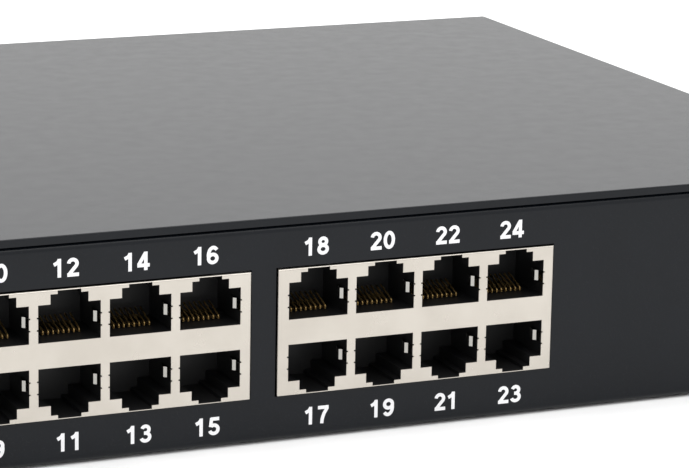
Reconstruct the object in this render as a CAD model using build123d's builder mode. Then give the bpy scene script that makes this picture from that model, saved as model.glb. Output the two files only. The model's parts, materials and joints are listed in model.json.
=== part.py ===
from build123d import *
import os

# Rackmount network switch, one rack unit high: a steel tray with the front and rear
# panels folded up from it, a folded cover, three shielded blocks of eight jacks on one
# board, an open supply board, a rear fan, a mains inlet and a power rocker.
# Millimetres. +X is right when facing the ports, +Y goes from the ports to the rear
# panel, +Z is up. The origin is on the resting plane, under the middle of the part.

MIN, MID, MAX = Align.MIN, Align.CENTER, Align.MAX

# ---------------------------------------------------------------- case sizes
case_width = 440.0  # outside of the cover's two sides
case_depth = 190.0  # front panel face to rear panel face
case_height = 44.0  # underside of the tray to the top of the cover
tray_gauge = 1.0
cover_gauge = 1.5
fold_radius = 0.9  # middle of the sheet, at the tray's folds
cover_fold_radius = 1.6
cover_edge_round = 0.3  # outer edge of the cover at the front
seam_gap = 0.08  # between the front panel's folded top and the cover
side_gap = 0.2  # between the tray's sides and the cover's sides
vent_slot_length = 16.0
vent_slot_width = 2.2
vent_pitch = 4.6
vent_count = 16
vent_height = 25.0  # middle of the slots above the tray's underside
vent_offset = 8.0  # middle of the slots behind the middle of the case
lip_depth = 9.0  # folded strips along the tops of the two panels
side_lip_height = 10.0
cover_screw_height = 5.5
cover_screw_setback = 12.0  # rear pair
cover_screw_offset = 10.0  # middle pair, behind the middle of the case

# ---------------------------------------------------------------- feet
foot_radius = 8.0
foot_proud = 0.45
foot_recess_depth = 1.0
foot_ease = 0.5
foot_inset_x = 30.0
foot_inset_y = 24.0

# ---------------------------------------------------------------- rack ears
ear_reach = 21.3  # from the side of the case to the end of an ear
rack_hole_inset = 8.75  # from the end of an ear
rack_hole_rise = 31.75
rack_slot_length = 10.3
rack_slot_width = 6.8
ear_gauge = 2.0
ear_bend_radius = 2.0
ear_depth = 40.0
ear_height = 43.4
ear_screw_setbacks = (13.0, 31.0)
ear_screw_rise = 22.0
ear_tab_height = 38.0

# ---------------------------------------------------------------- jack blocks
port_pitch = 13.97
ports_per_row = 4
block_count = 3
aperture_width = 12.2
aperture_body = 7.28
step_width = 7.4
step_height = 1.9
notch_width = 4.6
notch_height = 0.68
middle_band = 4.94
face_margin = 2.2  # from the outer apertures to the ends of the face
block_height = 24.95
block_depth = 22.0
block_centre_height = 21.5  # above the tray's underside
block_web = 5.5  # panel left between two faces
block_right_margin = 78.45  # last face to the right-hand end of the case
jack_proud = 0.6  # face in front of the panel's own face
window_gap = 0.25
face_round = 0.35  # folded edges of a face, top and sides
shield_gauge = 0.25
cavity_depth = 12.5
cavity_ease = 0.3
tab_width = 2.05
tab_relief_width = 0.3
tab_relief_depth = 0.27
tab_straight = 2.2
tab_peak = 2.65
tab_reach = 0.55
tab_end = 5.2
contact_count = 8
contact_pitch = 1.02
contact_width = 0.46
contact_gauge = 0.3
contact_lift = 0.05  # off the cavity's floor
contact_run = 8.0
contact_fold = 1.0
contact_tip = 3.6
contact_rise = 2.6

# ---------------------------------------------------------------- boards
board_gauge = 1.6
board_margin_left = 12.0
board_margin_right = 14.0
board_depth = 128.0
board_gap = 2.5  # front panel to the main board
standoff_radius = 2.6
standoff_inset = 5.0
standoff_front = 26.0  # pair behind the jack blocks
standoff_middle = 70.0
psu_width = 80.0
psu_depth = 66.0
psu_side_gap = 10.0
psu_rear_gap = 40.0
psu_standoff_height = 6.0
led_board_width = 80.0
led_board_depth = 20.0
led_board_side_gap = 14.0
led_board_setback = 13.0
led_hole_inset = 3.5
led_columns = 12
led_pitch = 5.4
led_row_rise = 6.0
led_low_row = 17.0  # above the tray's underside
pipe_radius = 1.0
pipe_hole_radius = 1.15

# ---------------------------------------------------------------- screws
m3_radius = 1.5
m3_head_radius = 2.75
m3_head_height = 1.8
m4_radius = 2.0
m4_head_radius = 3.6
m4_head_height = 2.4
screw_ease = 0.2  # clearance holes
thread_ease = 0.03  # screw in its nut or standoff
nut_height = 2.0
nut_wall = 1.6
screw_round = 0.55  # these four as shares of a head's height or radius
recess_length = 1.15
recess_width = 0.28
recess_depth = 0.6
screw_proud = 1.0  # past its nut, or short of the floor

# ---------------------------------------------------------------- rear panel
inlet_from_left = 45.0
inlet_flange_width = 48.0
inlet_flange_height = 22.5
inlet_flange_gauge = 2.8
inlet_flange_corner = 3.0
inlet_body_width = 27.0
inlet_body_height = 19.6
inlet_body_depth = 17.0
inlet_recess_width = 24.2
inlet_recess_height = 16.3
inlet_recess_depth = 15.6
inlet_recess_chamfer = 4.2
inlet_screw_span = 40.0
inlet_pin_span = 14.0
inlet_pin_offset = 2.0
inlet_pin_width = 4.0
inlet_pin_gauge = 2.0
inlet_pin_reach = 12.5
inlet_tab_length = 8.0
cutout_ease = 0.25
rocker_from_left = 92.0
rocker_frame_width = 15.0
rocker_frame_height = 21.0
rocker_frame_gauge = 2.0
rocker_body_width = 13.0
rocker_body_height = 19.0
rocker_body_depth = 14.0
rocker_floor = 1.5
rocker_frame_corner = 1.0
rocker_frame_round = 0.5
rocker_cap_width = 10.2
rocker_cap_half_length = 7.9
rocker_cap_end = 2.3
rocker_cap_valley = 1.2
rocker_cap_root = 4.2
rocker_cap_waist = 1.0  # height where the ends turn in, below the hinge line
rocker_cap_draft = 0.4
rocker_cap_round = 0.35
rocker_side_gap = 0.4
rocker_end_gap = 0.6
rocker_tilt = 12.0
rocker_terminal_span = 10.0
trunnion_radius = 1.2
trunnion_ease = 0.05
trunnion_length = 1.1
ground_from_left = 124.0
ground_height = 10.0
rear_feature_height = 21.0

# ---------------------------------------------------------------- fan
fan_from_right = 60.0
fan_size = 40.0
fan_depth = 10.0
fan_hole_inset = 4.0
fan_wall = 1.0
fan_floor_gap = 0.4
fan_notch_ease = 1.0
fan_base_gauge = 1.5
fan_strut_width = 2.6
fan_corner = 2.5
blade_count = 7
blade_gauge = 1.0
blade_angle = 40.0
blade_gap = 1.3
rotor_radius = 10.0
rotor_wall = 1.2
rotor_front_gap = 1.0
rotor_cup_depth = 6.8
shaft_radius = 1.0
shaft_ease = 0.03
shaft_length = 7.2
bearing_radius = 2.5
bearing_wall = 1.0
bearing_front_gap = 3.0
stator_radius = 7.4
stator_gap = 0.6
guard_wire = 1.8
guard_ring_shares = (0.425, 0.2875, 0.15)  # ring radii as shares of the fan's size
guard_ring_lift = 1.2  # underside of the rings off the panel
fan_strut_count = 3
fan_strut_start = 30.0
stator_slot = (2.4, 1.6)
stator_slot_count = 4

# ---------------------------------------------------------------- board parts
magnetics_size = (28.0, 13.0, 6.0)
magnetics_offset = 14.8
magnetics_setback = 34.0
phy_size = (20.0, 20.0, 1.5)
phy_setback = 56.0
switch_chip_size = (31.0, 31.0, 2.2)
switch_chip_setback = 98.0
sink_size = 40.0
sink_base = 2.0
sink_height = 13.0
sink_fin_count = 9
sink_fin_gauge = 1.2
coil_size = (10.0, 10.0, 5.0)
coil_spacing = 15.0
coil_count = 3
capacitor_radius = 4.0
capacitor_height = 11.0
capacitor_spacing = 12.0
capacitor_grid = (3, 2)
crystal_size = (11.0, 4.5, 3.5)
crystal_round = 2.05
header_height = 5.0
lead_height = 4.0  # where a lead meets its header, above the board
led_size = (1.6, 0.9, 0.8)
led_row_setbacks = (17.0, 22.0)
pipe_end_gap = 0.1
pipe_led_gap = 0.3
pipe_leg = 1.8
carrier_depth = 3.0
carrier_setback = 5.0
ribbon_width = 11.0
ribbon_gauge = 0.9
ribbon_rise = 6.0
ribbon_header = (5.0, 12.0)
ribbon_setback = 14.0  # behind the main board's front edge
header_inset = 6.0  # from the end of a board
dc_offset = 20.0
dc_inset = 2.0
fan_header = (8.0, 6.0, 6.0)
fan_header_inset = 24.0
fan_header_setback = 3.0
ac_offset = 12.0
ac_setback = 1.0
transformer_core = (20.0, 26.0, 20.0)
transformer_window = (14.0, 5.0)
core_offset = 4.0
winding_overhang = 4.0
winding_ease = 0.1
bulk_radius = 8.0
bulk_height = 22.0
bulk_inset = 13.0
bulk_offset = 6.0
bulk_round = 1.0
psu_sink_size = (36.0, 2.0, 22.0)
psu_sink_fold = 8.0
psu_sink_shift = 6.0
psu_sink_offset = 24.0
transistor_size = (10.0, 4.5, 16.0)
choke_major = 6.0
choke_minor = 2.8
choke_spot = (26.0, 4.0)  # from the middle of the supply board
fuse_radius = 2.6
fuse_length = 20.0
fuse_offset = 20.0
fuse_setback = 8.0
terminal_block = (14.0, 9.0, 9.0)
dc_header = (8.0, 10.0, 8.0)
wire_radius = 1.1
thin_wire_radius = 0.9
wire_bend = 2.5
thin_wire_bend = 1.08
wire_spacing = 3.0
lug_radius = 4.0
lug_gauge = 0.8
lug_bite = 0.4  # how far the earth lead runs into its lug
turn_gap = 8.0  # inlet's blades to the first bend of the mains leads
arch_rise = 5.0
arch_foot = 12.0
ac_spacing = 6.0
lead_stagger = 1.0  # keeps leads that cross apart
earth_turn = 5.0
earth_drop = 3.0
earth_step = 2.0
earth_forward = 4.0
dc_rise = 7.0
dc_straight = 12.0
fan_lead_height = 8.0
fan_lead_shares = (0.35, 0.7)  # bends along the fan's lead

# ---------------------------------------------------------------- places worked out
# The box runs from the jack faces, which stand proud, to the heads of the inlet's screws.
rear_overhang = inlet_flange_gauge + m3_head_height
base_z = foot_proud
top_z = base_z + case_height
middle_z = base_z + case_height / 2
floor_z = base_z + tray_gauge
front_y = -(case_depth + rear_overhang - jack_proud) / 2
rear_y = front_y + case_depth
case_y = (front_y + rear_y) / 2
panel_top = top_z - cover_gauge - seam_gap
tray_half = case_width / 2 - cover_gauge - side_gap
half_case = case_width / 2
rack_width = case_width + 2 * ear_reach
rack_hole_span = rack_width - 2 * rack_hole_inset

face_width = (ports_per_row - 1) * port_pitch + aperture_width + 2 * face_margin
last_block_x = half_case - block_right_margin - face_width / 2
block_xs = [
    last_block_x - (face_width + block_web) * (block_count - 1 - index)
    for index in range(block_count)
]
block_z = base_z + block_centre_height
block_floor_z = block_z - block_height / 2
jack_y = front_y - jack_proud
body_centre_rise = (middle_band + aperture_body) / 2

board_top = block_floor_z
board_under = board_top - board_gauge
board_left = block_xs[0] - face_width / 2 - board_margin_left
board_right = block_xs[-1] + face_width / 2 + board_margin_right
board_width = board_right - board_left
board_x = (board_left + board_right) / 2
board_front = front_y + tray_gauge + board_gap
board_rear = board_front + board_depth
standoff_height = board_under - floor_z

psu_x = -half_case + psu_side_gap + psu_width / 2
psu_rear = rear_y - psu_rear_gap
psu_y = psu_rear - psu_depth / 2
psu_under = floor_z + psu_standoff_height
psu_top = psu_under + board_gauge

led_board_x = -half_case + led_board_side_gap + led_board_width / 2
led_board_y = front_y + led_board_setback + led_board_depth / 2
led_rows = [base_z + led_low_row + led_row_rise * row for row in range(2)]

foot_spots = [
    (side * (half_case - foot_inset_x), end)
    for side in (-1, 1)
    for end in (front_y + foot_inset_y, rear_y - foot_inset_y)
]
board_spots = [
    (board_left + standoff_inset, board_front + standoff_front),
    (board_right - standoff_inset, board_front + standoff_front),
    (board_x, board_front + standoff_middle),
    (board_left + standoff_inset, board_rear - standoff_inset),
    (board_x, board_rear - standoff_inset),
    (board_right - standoff_inset, board_rear - standoff_inset),
]
psu_spots = [
    (
        psu_x + side * (psu_width / 2 - standoff_inset),
        psu_y + end * (psu_depth / 2 - standoff_inset),
    )
    for side in (-1, 1)
    for end in (-1, 1)
]
led_spots = [
    (
        led_board_x + side * (led_board_width / 2 - led_hole_inset),
        led_board_y + led_board_depth / 2 - led_hole_inset,
    )
    for side in (-1, 1)
]
ear_screw_zs = [middle_z - ear_screw_rise / 2, middle_z + ear_screw_rise / 2]
cover_screw_ys = [rear_y - cover_screw_setback, case_y + cover_screw_offset]
cover_screw_z = base_z + cover_screw_height
vent_z = base_z + vent_height
tray_wall_x = tray_half - tray_gauge

# Faces that the panels' features are drawn on: x along the case, y up from the tray's
# underside, z out of the case.
front_plane = Plane(origin=(0, front_y, base_z), x_dir=(1, 0, 0), z_dir=(0, -1, 0))
rear_plane = Plane(origin=(0, rear_y, base_z), x_dir=(-1, 0, 0), z_dir=(0, 1, 0))

inlet_x = half_case - inlet_from_left
rocker_x = half_case - rocker_from_left
ground_x = half_case - ground_from_left
fan_x = half_case - fan_from_right
fan_height = tray_gauge + fan_floor_gap + fan_size / 2
fan_bore_radius = fan_size / 2 - fan_wall
fan_screw_reach = fan_size / 2 - fan_hole_inset
# The fan is drawn looking into the case, from the rear panel's inner face.
fan_plane = Plane(
    origin=(fan_x, rear_y - tray_gauge, base_z + fan_height), x_dir=(1, 0, 0), z_dir=(0, -1, 0)
)
fan_outer_plane = Plane(
    origin=(fan_x, rear_y, base_z + fan_height), x_dir=(-1, 0, 0), z_dir=(0, 1, 0)
)
inlet_plane = Plane(
    origin=(-inlet_x, rear_y, base_z + rear_feature_height), x_dir=(-1, 0, 0), z_dir=(0, 1, 0)
)
rocker_plane = Plane(
    origin=(-rocker_x, rear_y, base_z + rear_feature_height), x_dir=(-1, 0, 0), z_dir=(0, 1, 0)
)

os.makedirs("parts", exist_ok=True)


# ---------------------------------------------------------------- helpers
def cross_screw(radius, length, head_radius, head_height):
    """One pan head screw with a cross recess: seat at the origin, head up, shank down."""
    with BuildPart() as screw:
        Cylinder(head_radius, head_height, align=(MID, MID, MIN))
        rim = screw.edges().filter_by(GeomType.CIRCLE).sort_by(Axis.Z)[-1]
        fillet(rim, head_height * screw_round)
        Cylinder(radius, length, align=(MID, MID, MAX))
        with Locations((0, 0, head_height)):
            for across, along in ((recess_length, recess_width), (recess_width, recess_length)):
                Box(
                    head_radius * across,
                    head_radius * along,
                    head_height * recess_depth,
                    align=(MID, MID, MAX),
                    mode=Mode.SUBTRACT,
                )
    return screw.part


def stepped_opening(width, body, step, notch, ease):
    """The stepped outline of one jack, centred on its main body, latch side up."""
    half_body = body / 2
    with BuildSketch() as opening:
        Rectangle(width + 2 * ease, body)
        with Locations((0, half_body)):
            Rectangle(step_width + 2 * ease, 2 * step)
        with Locations((0, half_body + step)):
            Rectangle(notch_width + 2 * ease, 2 * notch)
    return opening.sketch


def port_locations(centre_x, face_y):
    """One plane for each jack of a block, facing out, with the latch side up on it."""
    planes = []
    for column in range(ports_per_row):
        x = centre_x + (column - (ports_per_row - 1) / 2) * port_pitch
        for row in (-1, 1):
            planes.append(
                Plane(
                    origin=(x, face_y, block_z + row * body_centre_rise),
                    x_dir=(row, 0, 0),
                    z_dir=(0, -1, 0),
                )
            )
    return planes


def tube(route, bend, radius):
    """A wire along straight runs with round bends."""
    with BuildPart() as wire:
        with BuildLine() as path:
            FilletPolyline(*route, radius=bend)
        with BuildSketch(Plane(origin=path.line @ 0, z_dir=path.line % 0)):
            Circle(radius)
        sweep(path=path.line)
    return wire.part


# ---------------------------------------------------------------- chassis tray
with BuildPart() as chassis_tray:
    # One folded sheet: strip, front panel, floor, rear panel, strip.
    half = tray_gauge / 2
    with BuildSketch(Plane.YZ):
        with BuildLine():
            FilletPolyline(
                (front_y + lip_depth, panel_top - half),
                (front_y + half, panel_top - half),
                (front_y + half, base_z + half),
                (rear_y - half, base_z + half),
                (rear_y - half, panel_top - half),
                (rear_y - lip_depth, panel_top - half),
                radius=fold_radius,
            )
        trace(line_width=tray_gauge)
    extrude(amount=tray_half, both=True)
    # Low walls along both sides, and the tall tabs that the ears are screwed to.
    for side in (-1, 1):
        with Locations((side * (tray_half - half), case_y, floor_z)):
            Box(
                tray_gauge,
                case_depth - 2 * tray_gauge,
                side_lip_height,
                align=(MID, MID, MIN),
            )
        with Locations((side * (tray_half - half), front_y + tray_gauge, floor_z)):
            Box(tray_gauge, ear_depth, ear_tab_height, align=(MID, MIN, MIN))
    # Raised rounds over the feet.
    with Locations([(x, y, floor_z) for x, y in foot_spots]):
        Cylinder(
            foot_radius + foot_ease + tray_gauge, foot_recess_depth, align=(MID, MID, MIN)
        )
    with Locations([(x, y, base_z) for x, y in foot_spots]):
        Cylinder(
            foot_radius + foot_ease,
            foot_recess_depth,
            align=(MID, MID, MIN),
            mode=Mode.SUBTRACT,
        )
    # Windows for the jack blocks and holes for the indicators.
    with BuildSketch(front_plane):
        with Locations([(x, block_centre_height) for x in block_xs]):
            Rectangle(face_width + 2 * window_gap, block_height + 2 * window_gap)
        with Locations([(led_board_x, z - base_z) for z in led_rows]):
            with GridLocations(led_pitch, 0, led_columns, 1):
                Circle(pipe_hole_radius)
    extrude(amount=-2 * tray_gauge, mode=Mode.SUBTRACT)
    # Rear panel cut-outs.
    with BuildSketch(rear_plane):
        with Locations((inlet_x, rear_feature_height)):
            Rectangle(inlet_body_width + 2 * cutout_ease, inlet_body_height + 2 * cutout_ease)
            with GridLocations(inlet_screw_span, 0, 2, 1):
                Circle(m3_radius + screw_ease)
        with Locations((rocker_x, rear_feature_height)):
            Rectangle(rocker_body_width + 2 * cutout_ease, rocker_body_height + 2 * cutout_ease)
        with Locations((ground_x, ground_height)):
            Circle(m4_radius + screw_ease)
        with Locations((-fan_x, fan_height)):
            Circle(fan_bore_radius)
            with GridLocations(2 * fan_screw_reach, 2 * fan_screw_reach, 2, 2):
                Circle(m3_radius + screw_ease)
    extrude(amount=-2 * tray_gauge, mode=Mode.SUBTRACT)
    # The rear strip is notched over the fan.
    with Locations((fan_x, rear_y - tray_gauge, panel_top)):
        Box(
            fan_size + 2 * fan_notch_ease,
            lip_depth,
            2 * tray_gauge,
            align=(MID, MAX, MAX),
            mode=Mode.SUBTRACT,
        )
    # The upper corners are cut back to clear the cover's inner folds.
    corner_cut = cover_fold_radius - cover_gauge / 2 - side_gap
    with BuildSketch(Plane.XZ.offset(-front_y)):
        with Locations((-tray_half, panel_top), (tray_half, panel_top)):
            Rectangle(corner_cut * 2**0.5, corner_cut * 2**0.5, rotation=45)
    extrude(amount=-case_depth, mode=Mode.SUBTRACT)
    # Side holes for the ears' screws and the cover's screws.
    with BuildSketch(Plane.YZ):
        with Locations(
            [(front_y + setback, z) for setback in ear_screw_setbacks for z in ear_screw_zs]
        ):
            Circle(m4_radius + screw_ease)
        with Locations([(y, cover_screw_z) for y in cover_screw_ys]):
            Circle(m3_radius + screw_ease)
    extrude(amount=case_width, both=True, mode=Mode.SUBTRACT)
chassis_tray.part.label = "chassis_tray"
export_step(chassis_tray.part, "parts/chassis_tray.step")

# ---------------------------------------------------------------- top cover
with BuildPart() as top_cover:
    half = cover_gauge / 2
    with BuildSketch(Plane.XZ.offset(-front_y)):
        with BuildLine():
            FilletPolyline(
                (-half_case + half, base_z),
                (-half_case + half, top_z - half),
                (half_case - half, top_z - half),
                (half_case - half, base_z),
                radius=cover_fold_radius,
            )
        trace(line_width=cover_gauge)
    extrude(amount=-case_depth)
    top_edges = top_cover.edges().filter_by(Axis.X).group_by(Axis.Z)[-1]
    fillet(top_edges.sort_by(Axis.Y)[0], cover_edge_round)
    with BuildSketch(Plane.YZ):
        with Locations((case_y + vent_offset, vent_z)):
            with GridLocations(vent_pitch, 0, vent_count, 1):
                SlotOverall(vent_slot_length, vent_slot_width, rotation=90)
        with Locations(
            [(front_y + setback, z) for setback in ear_screw_setbacks for z in ear_screw_zs]
        ):
            Circle(m4_radius + screw_ease)
        with Locations([(y, cover_screw_z) for y in cover_screw_ys]):
            Circle(m3_radius + screw_ease)
    extrude(amount=case_width, both=True, mode=Mode.SUBTRACT)
top_cover.part.label = "top_cover"
export_step(top_cover.part, "parts/top_cover.step")

# ---------------------------------------------------------------- rubber feet
with BuildPart() as rubber_feet:
    with Locations([(x, y, 0) for x, y in foot_spots]):
        Cylinder(foot_radius, foot_proud + foot_recess_depth, align=(MID, MID, MIN))
rubber_feet.part.label = "rubber_feet"
export_step(rubber_feet.part, "parts/rubber_feet.step")

# ---------------------------------------------------------------- rack ears
for side, name in ((-1, "rack_ear_left"), (1, "rack_ear_right")):
    with BuildPart() as rack_ear:
        half = ear_gauge / 2
        with BuildSketch(Plane.XY.offset(middle_z - ear_height / 2)):
            with BuildLine():
                FilletPolyline(
                    (side * (half_case + half), front_y + ear_depth),
                    (side * (half_case + half), front_y + half),
                    (side * rack_width / 2, front_y + half),
                    radius=ear_bend_radius,
                )
            trace(line_width=ear_gauge)
        extrude(amount=ear_height)
        with BuildSketch(Plane.XZ.offset(-front_y)):
            with Locations(
                [
                    (side * rack_hole_span / 2, middle_z + end * rack_hole_rise / 2)
                    for end in (-1, 1)
                ]
            ):
                SlotOverall(rack_slot_length, rack_slot_width)
        extrude(amount=-ear_gauge, mode=Mode.SUBTRACT)
        with BuildSketch(Plane.YZ):
            with Locations(
                [(front_y + setback, z) for setback in ear_screw_setbacks for z in ear_screw_zs]
            ):
                Circle(m4_radius + screw_ease)
        extrude(amount=side * (half_case + ear_gauge), mode=Mode.SUBTRACT)
    rack_ear.part.label = name
    export_step(rack_ear.part, f"parts/{name}.step")

# ---------------------------------------------------------------- ear and cover screws
ear_seat_x = half_case + ear_gauge
ear_shank = ear_seat_x - tray_wall_x + nut_height
ear_screw = cross_screw(m4_radius, ear_shank, m4_head_radius, m4_head_height)
with BuildPart() as rack_ear_screws:
    with Locations(
        [
            Plane(origin=(side * ear_seat_x, front_y + setback, z), z_dir=(side, 0, 0))
            for side in (-1, 1)
            for setback in ear_screw_setbacks
            for z in ear_screw_zs
        ]
    ):
        add(ear_screw)
rack_ear_screws.part.label = "rack_ear_screws"
export_step(rack_ear_screws.part, "parts/rack_ear_screws.step")

cover_shank = half_case - tray_wall_x + nut_height
cover_screw = cross_screw(m3_radius, cover_shank, m3_head_radius, m3_head_height)
with BuildPart() as cover_screws:
    with Locations(
        [
            Plane(origin=(side * half_case, y, cover_screw_z), z_dir=(side, 0, 0))
            for side in (-1, 1)
            for y in cover_screw_ys
        ]
    ):
        add(cover_screw)
cover_screws.part.label = "cover_screws"
export_step(cover_screws.part, "parts/cover_screws.step")

# Round nuts pressed into the inside of the tray's sides.
with BuildPart() as clinch_nuts:
    for side in (-1, 1):
        with Locations(
            [
                Plane(origin=(side * tray_wall_x, front_y + setback, z), z_dir=(-side, 0, 0))
                for setback in ear_screw_setbacks
                for z in ear_screw_zs
            ]
        ):
            Cylinder(m4_radius + nut_wall, nut_height, align=(MID, MID, MIN))
            Cylinder(
                m4_radius + thread_ease, nut_height, align=(MID, MID, MIN), mode=Mode.SUBTRACT
            )
        with Locations(
            [
                Plane(origin=(side * tray_wall_x, y, cover_screw_z), z_dir=(-side, 0, 0))
                for y in cover_screw_ys
            ]
        ):
            Cylinder(m3_radius + nut_wall, nut_height, align=(MID, MID, MIN))
            Cylinder(
                m3_radius + thread_ease, nut_height, align=(MID, MID, MIN), mode=Mode.SUBTRACT
            )
clinch_nuts.part.label = "clinch_nuts"
export_step(clinch_nuts.part, "parts/clinch_nuts.step")

# ---------------------------------------------------------------- jack blocks
face_opening = stepped_opening(
    aperture_width, aperture_body, step_height, notch_height, 0.0
)
cavity_opening = stepped_opening(
    aperture_width, aperture_body, step_height, notch_height, cavity_ease
)
tab_edge = aperture_width / 2
core_width = face_width - 2 * shield_gauge
core_height = block_height - shield_gauge
core_depth = block_depth - 2 * shield_gauge

for number, centre_x in enumerate(block_xs, start=1):
    jack_planes = port_locations(centre_x, jack_y)
    # Folded shield: a face with the stepped openings, a top, two sides and a back.
    with BuildPart() as jack_shield:
        with Locations((centre_x, jack_y, block_floor_z)):
            Box(face_width, block_depth, block_height, align=(MID, MIN, MIN))
        face_rim = jack_shield.faces().sort_by(Axis.Y)[0].edges()
        fillet(face_rim.sort_by(Axis.Z)[1:], face_round)
        with Locations((centre_x, jack_y + shield_gauge, block_floor_z)):
            Box(core_width, core_depth, core_height, align=(MID, MIN, MIN), mode=Mode.SUBTRACT)
        with BuildSketch(*jack_planes):
            add(face_opening)
            # Small reliefs above and below each spring tab.
            with Locations(
                [
                    (side * tab_edge, end * (tab_width + tab_relief_width) / 2)
                    for side in (-1, 1)
                    for end in (-1, 1)
                ]
            ):
                Rectangle(2 * tab_relief_depth, tab_relief_width)
        extrude(amount=-shield_gauge, mode=Mode.SUBTRACT)
        # Spring tabs turned in from both sides of each opening: they grip a plug's shell.
        for row in (-1, 1):
            tab_z = block_z + row * body_centre_rise - tab_width / 2
            with BuildSketch(Plane.XY.offset(tab_z)):
                for column in range(ports_per_row):
                    port_x = centre_x + (column - (ports_per_row - 1) / 2) * port_pitch
                    for side in (-1, 1):
                        tab_path = [
                            (tab_edge, 0),
                            (tab_edge, tab_straight),
                            (tab_edge - tab_reach, tab_peak),
                            (tab_edge, tab_end),
                        ]
                        outline = tab_path + [
                            (x + shield_gauge, y) for x, y in reversed(tab_path)
                        ]
                        with BuildLine():
                            Polyline(
                                [(port_x + side * x, jack_y + y) for x, y in outline],
                                close=True,
                            )
                        make_face()
            extrude(amount=tab_width)
    jack_shield.part.label = f"jack_shield_{number}"
    export_step(jack_shield.part, f"parts/jack_shield_{number}.step")

    # Moulded insulator inside the shield, with one stepped cavity for each jack.
    with BuildPart() as jack_housing:
        with Locations((centre_x, jack_y + shield_gauge, block_floor_z)):
            Box(core_width, core_depth, core_height, align=(MID, MIN, MIN))
        with BuildSketch(*port_locations(centre_x, jack_y + shield_gauge)):
            add(cavity_opening)
        extrude(amount=-cavity_depth, mode=Mode.SUBTRACT)
    jack_housing.part.label = f"jack_housing_{number}"
    export_step(jack_housing.part, f"parts/jack_housing_{number}.step")

    # Eight sprung wires in each cavity: along its floor, then folded back and up.
    with BuildPart() as jack_contacts:
        for row in (-1, 1):
            wall_z = block_z + row * middle_band / 2
            rear_end = jack_y + shield_gauge + cavity_depth
            wire_outline = [
                (0, contact_lift),
                (-contact_run, contact_lift),
                (-contact_run - contact_gauge, contact_lift + contact_gauge),
                (-contact_tip, contact_rise),
                (-contact_tip, contact_rise - contact_gauge),
                (-contact_run + contact_fold, contact_lift + contact_gauge),
                (0, contact_lift + contact_gauge),
            ]
            with BuildSketch(Plane.YZ.offset(centre_x - contact_width / 2)):
                with BuildLine():
                    Polyline(
                        [(rear_end + y, wall_z + row * z) for y, z in wire_outline],
                        close=True,
                    )
                make_face()
            offsets = [
                (column - (ports_per_row - 1) / 2) * port_pitch
                + (wire_index - (contact_count - 1) / 2) * contact_pitch
                for column in range(ports_per_row)
                for wire_index in range(contact_count)
            ]
            contact = extrude(amount=contact_width, mode=Mode.PRIVATE)
            with Locations([(x, 0, 0) for x in offsets]):
                add(contact)
    jack_contacts.part.label = f"jack_contacts_{number}"
    export_step(jack_contacts.part, f"parts/jack_contacts_{number}.step")


# ---------------------------------------------------------------- boards
def board(centre_x, front, width, depth, under_z, spots):
    """A plain circuit board with a clearance hole over each standoff."""
    with BuildPart() as plate:
        with Locations((centre_x, front, under_z)):
            Box(width, depth, board_gauge, align=(MID, MIN, MIN))
        with Locations([(x, y, under_z) for x, y in spots]):
            Cylinder(
                m3_radius + screw_ease, board_gauge, align=(MID, MID, MIN), mode=Mode.SUBTRACT
            )
    return plate


main_board = board(board_x, board_front, board_width, board_depth, board_under, board_spots)
main_board.part.label = "main_board"
export_step(main_board.part, "parts/main_board.step")

led_board = board(
    led_board_x,
    led_board_y - led_board_depth / 2,
    led_board_width,
    led_board_depth,
    board_under,
    led_spots,
)
led_board.part.label = "led_board"
export_step(led_board.part, "parts/led_board.step")

psu_board = board(psu_x, psu_y - psu_depth / 2, psu_width, psu_depth, psu_under, psu_spots)
psu_board.part.label = "psu_board"
export_step(psu_board.part, "parts/psu_board.step")

# Threaded pillars under all three boards.
with BuildPart() as board_standoffs:
    for spots, height in (
        (board_spots + led_spots, standoff_height),
        (psu_spots, psu_standoff_height),
    ):
        with Locations([(x, y, floor_z) for x, y in spots]):
            Cylinder(standoff_radius, height, align=(MID, MID, MIN))
            Cylinder(m3_radius + thread_ease, height, align=(MID, MID, MIN), mode=Mode.SUBTRACT)
board_standoffs.part.label = "board_standoffs"
export_step(board_standoffs.part, "parts/board_standoffs.step")

board_screw = cross_screw(
    m3_radius, board_gauge + psu_standoff_height - screw_proud, m3_head_radius, m3_head_height
)
with BuildPart() as board_screws:
    with Locations([(x, y, board_top) for x, y in board_spots + led_spots]):
        add(board_screw)
    with Locations([(x, y, psu_top) for x, y in psu_spots]):
        add(board_screw)
board_screws.part.label = "board_screws"
export_step(board_screws.part, "parts/board_screws.step")

# ---------------------------------------------------------------- main board parts
with BuildPart() as port_transformers:
    with Locations(
        [
            (x + side * magnetics_offset, board_front + magnetics_setback, board_top)
            for x in block_xs
            for side in (-1, 1)
        ]
    ):
        Box(*magnetics_size, align=(MID, MID, MIN))
port_transformers.part.label = "port_transformers"
export_step(port_transformers.part, "parts/port_transformers.step")

with BuildPart() as port_chips:
    with Locations([(x, board_front + phy_setback, board_top) for x in block_xs]):
        Box(*phy_size, align=(MID, MID, MIN))
port_chips.part.label = "port_chips"
export_step(port_chips.part, "parts/port_chips.step")

switch_chip_y = board_front + switch_chip_setback
with BuildPart() as switch_chip:
    with Locations((board_x, switch_chip_y, board_top)):
        Box(*switch_chip_size, align=(MID, MID, MIN))
switch_chip.part.label = "switch_chip"
export_step(switch_chip.part, "parts/switch_chip.step")

sink_under = board_top + switch_chip_size[2]
fin_pitch = (sink_size - sink_fin_gauge) / (sink_fin_count - 1)
with BuildPart() as chip_heatsink:
    with Locations((board_x, switch_chip_y, sink_under)):
        Box(sink_size, sink_size, sink_base, align=(MID, MID, MIN))
        with GridLocations(fin_pitch, 0, sink_fin_count, 1):
            Box(sink_fin_gauge, sink_size, sink_height, align=(MID, MID, MIN))
chip_heatsink.part.label = "chip_heatsink"
export_step(chip_heatsink.part, "parts/chip_heatsink.step")

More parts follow.
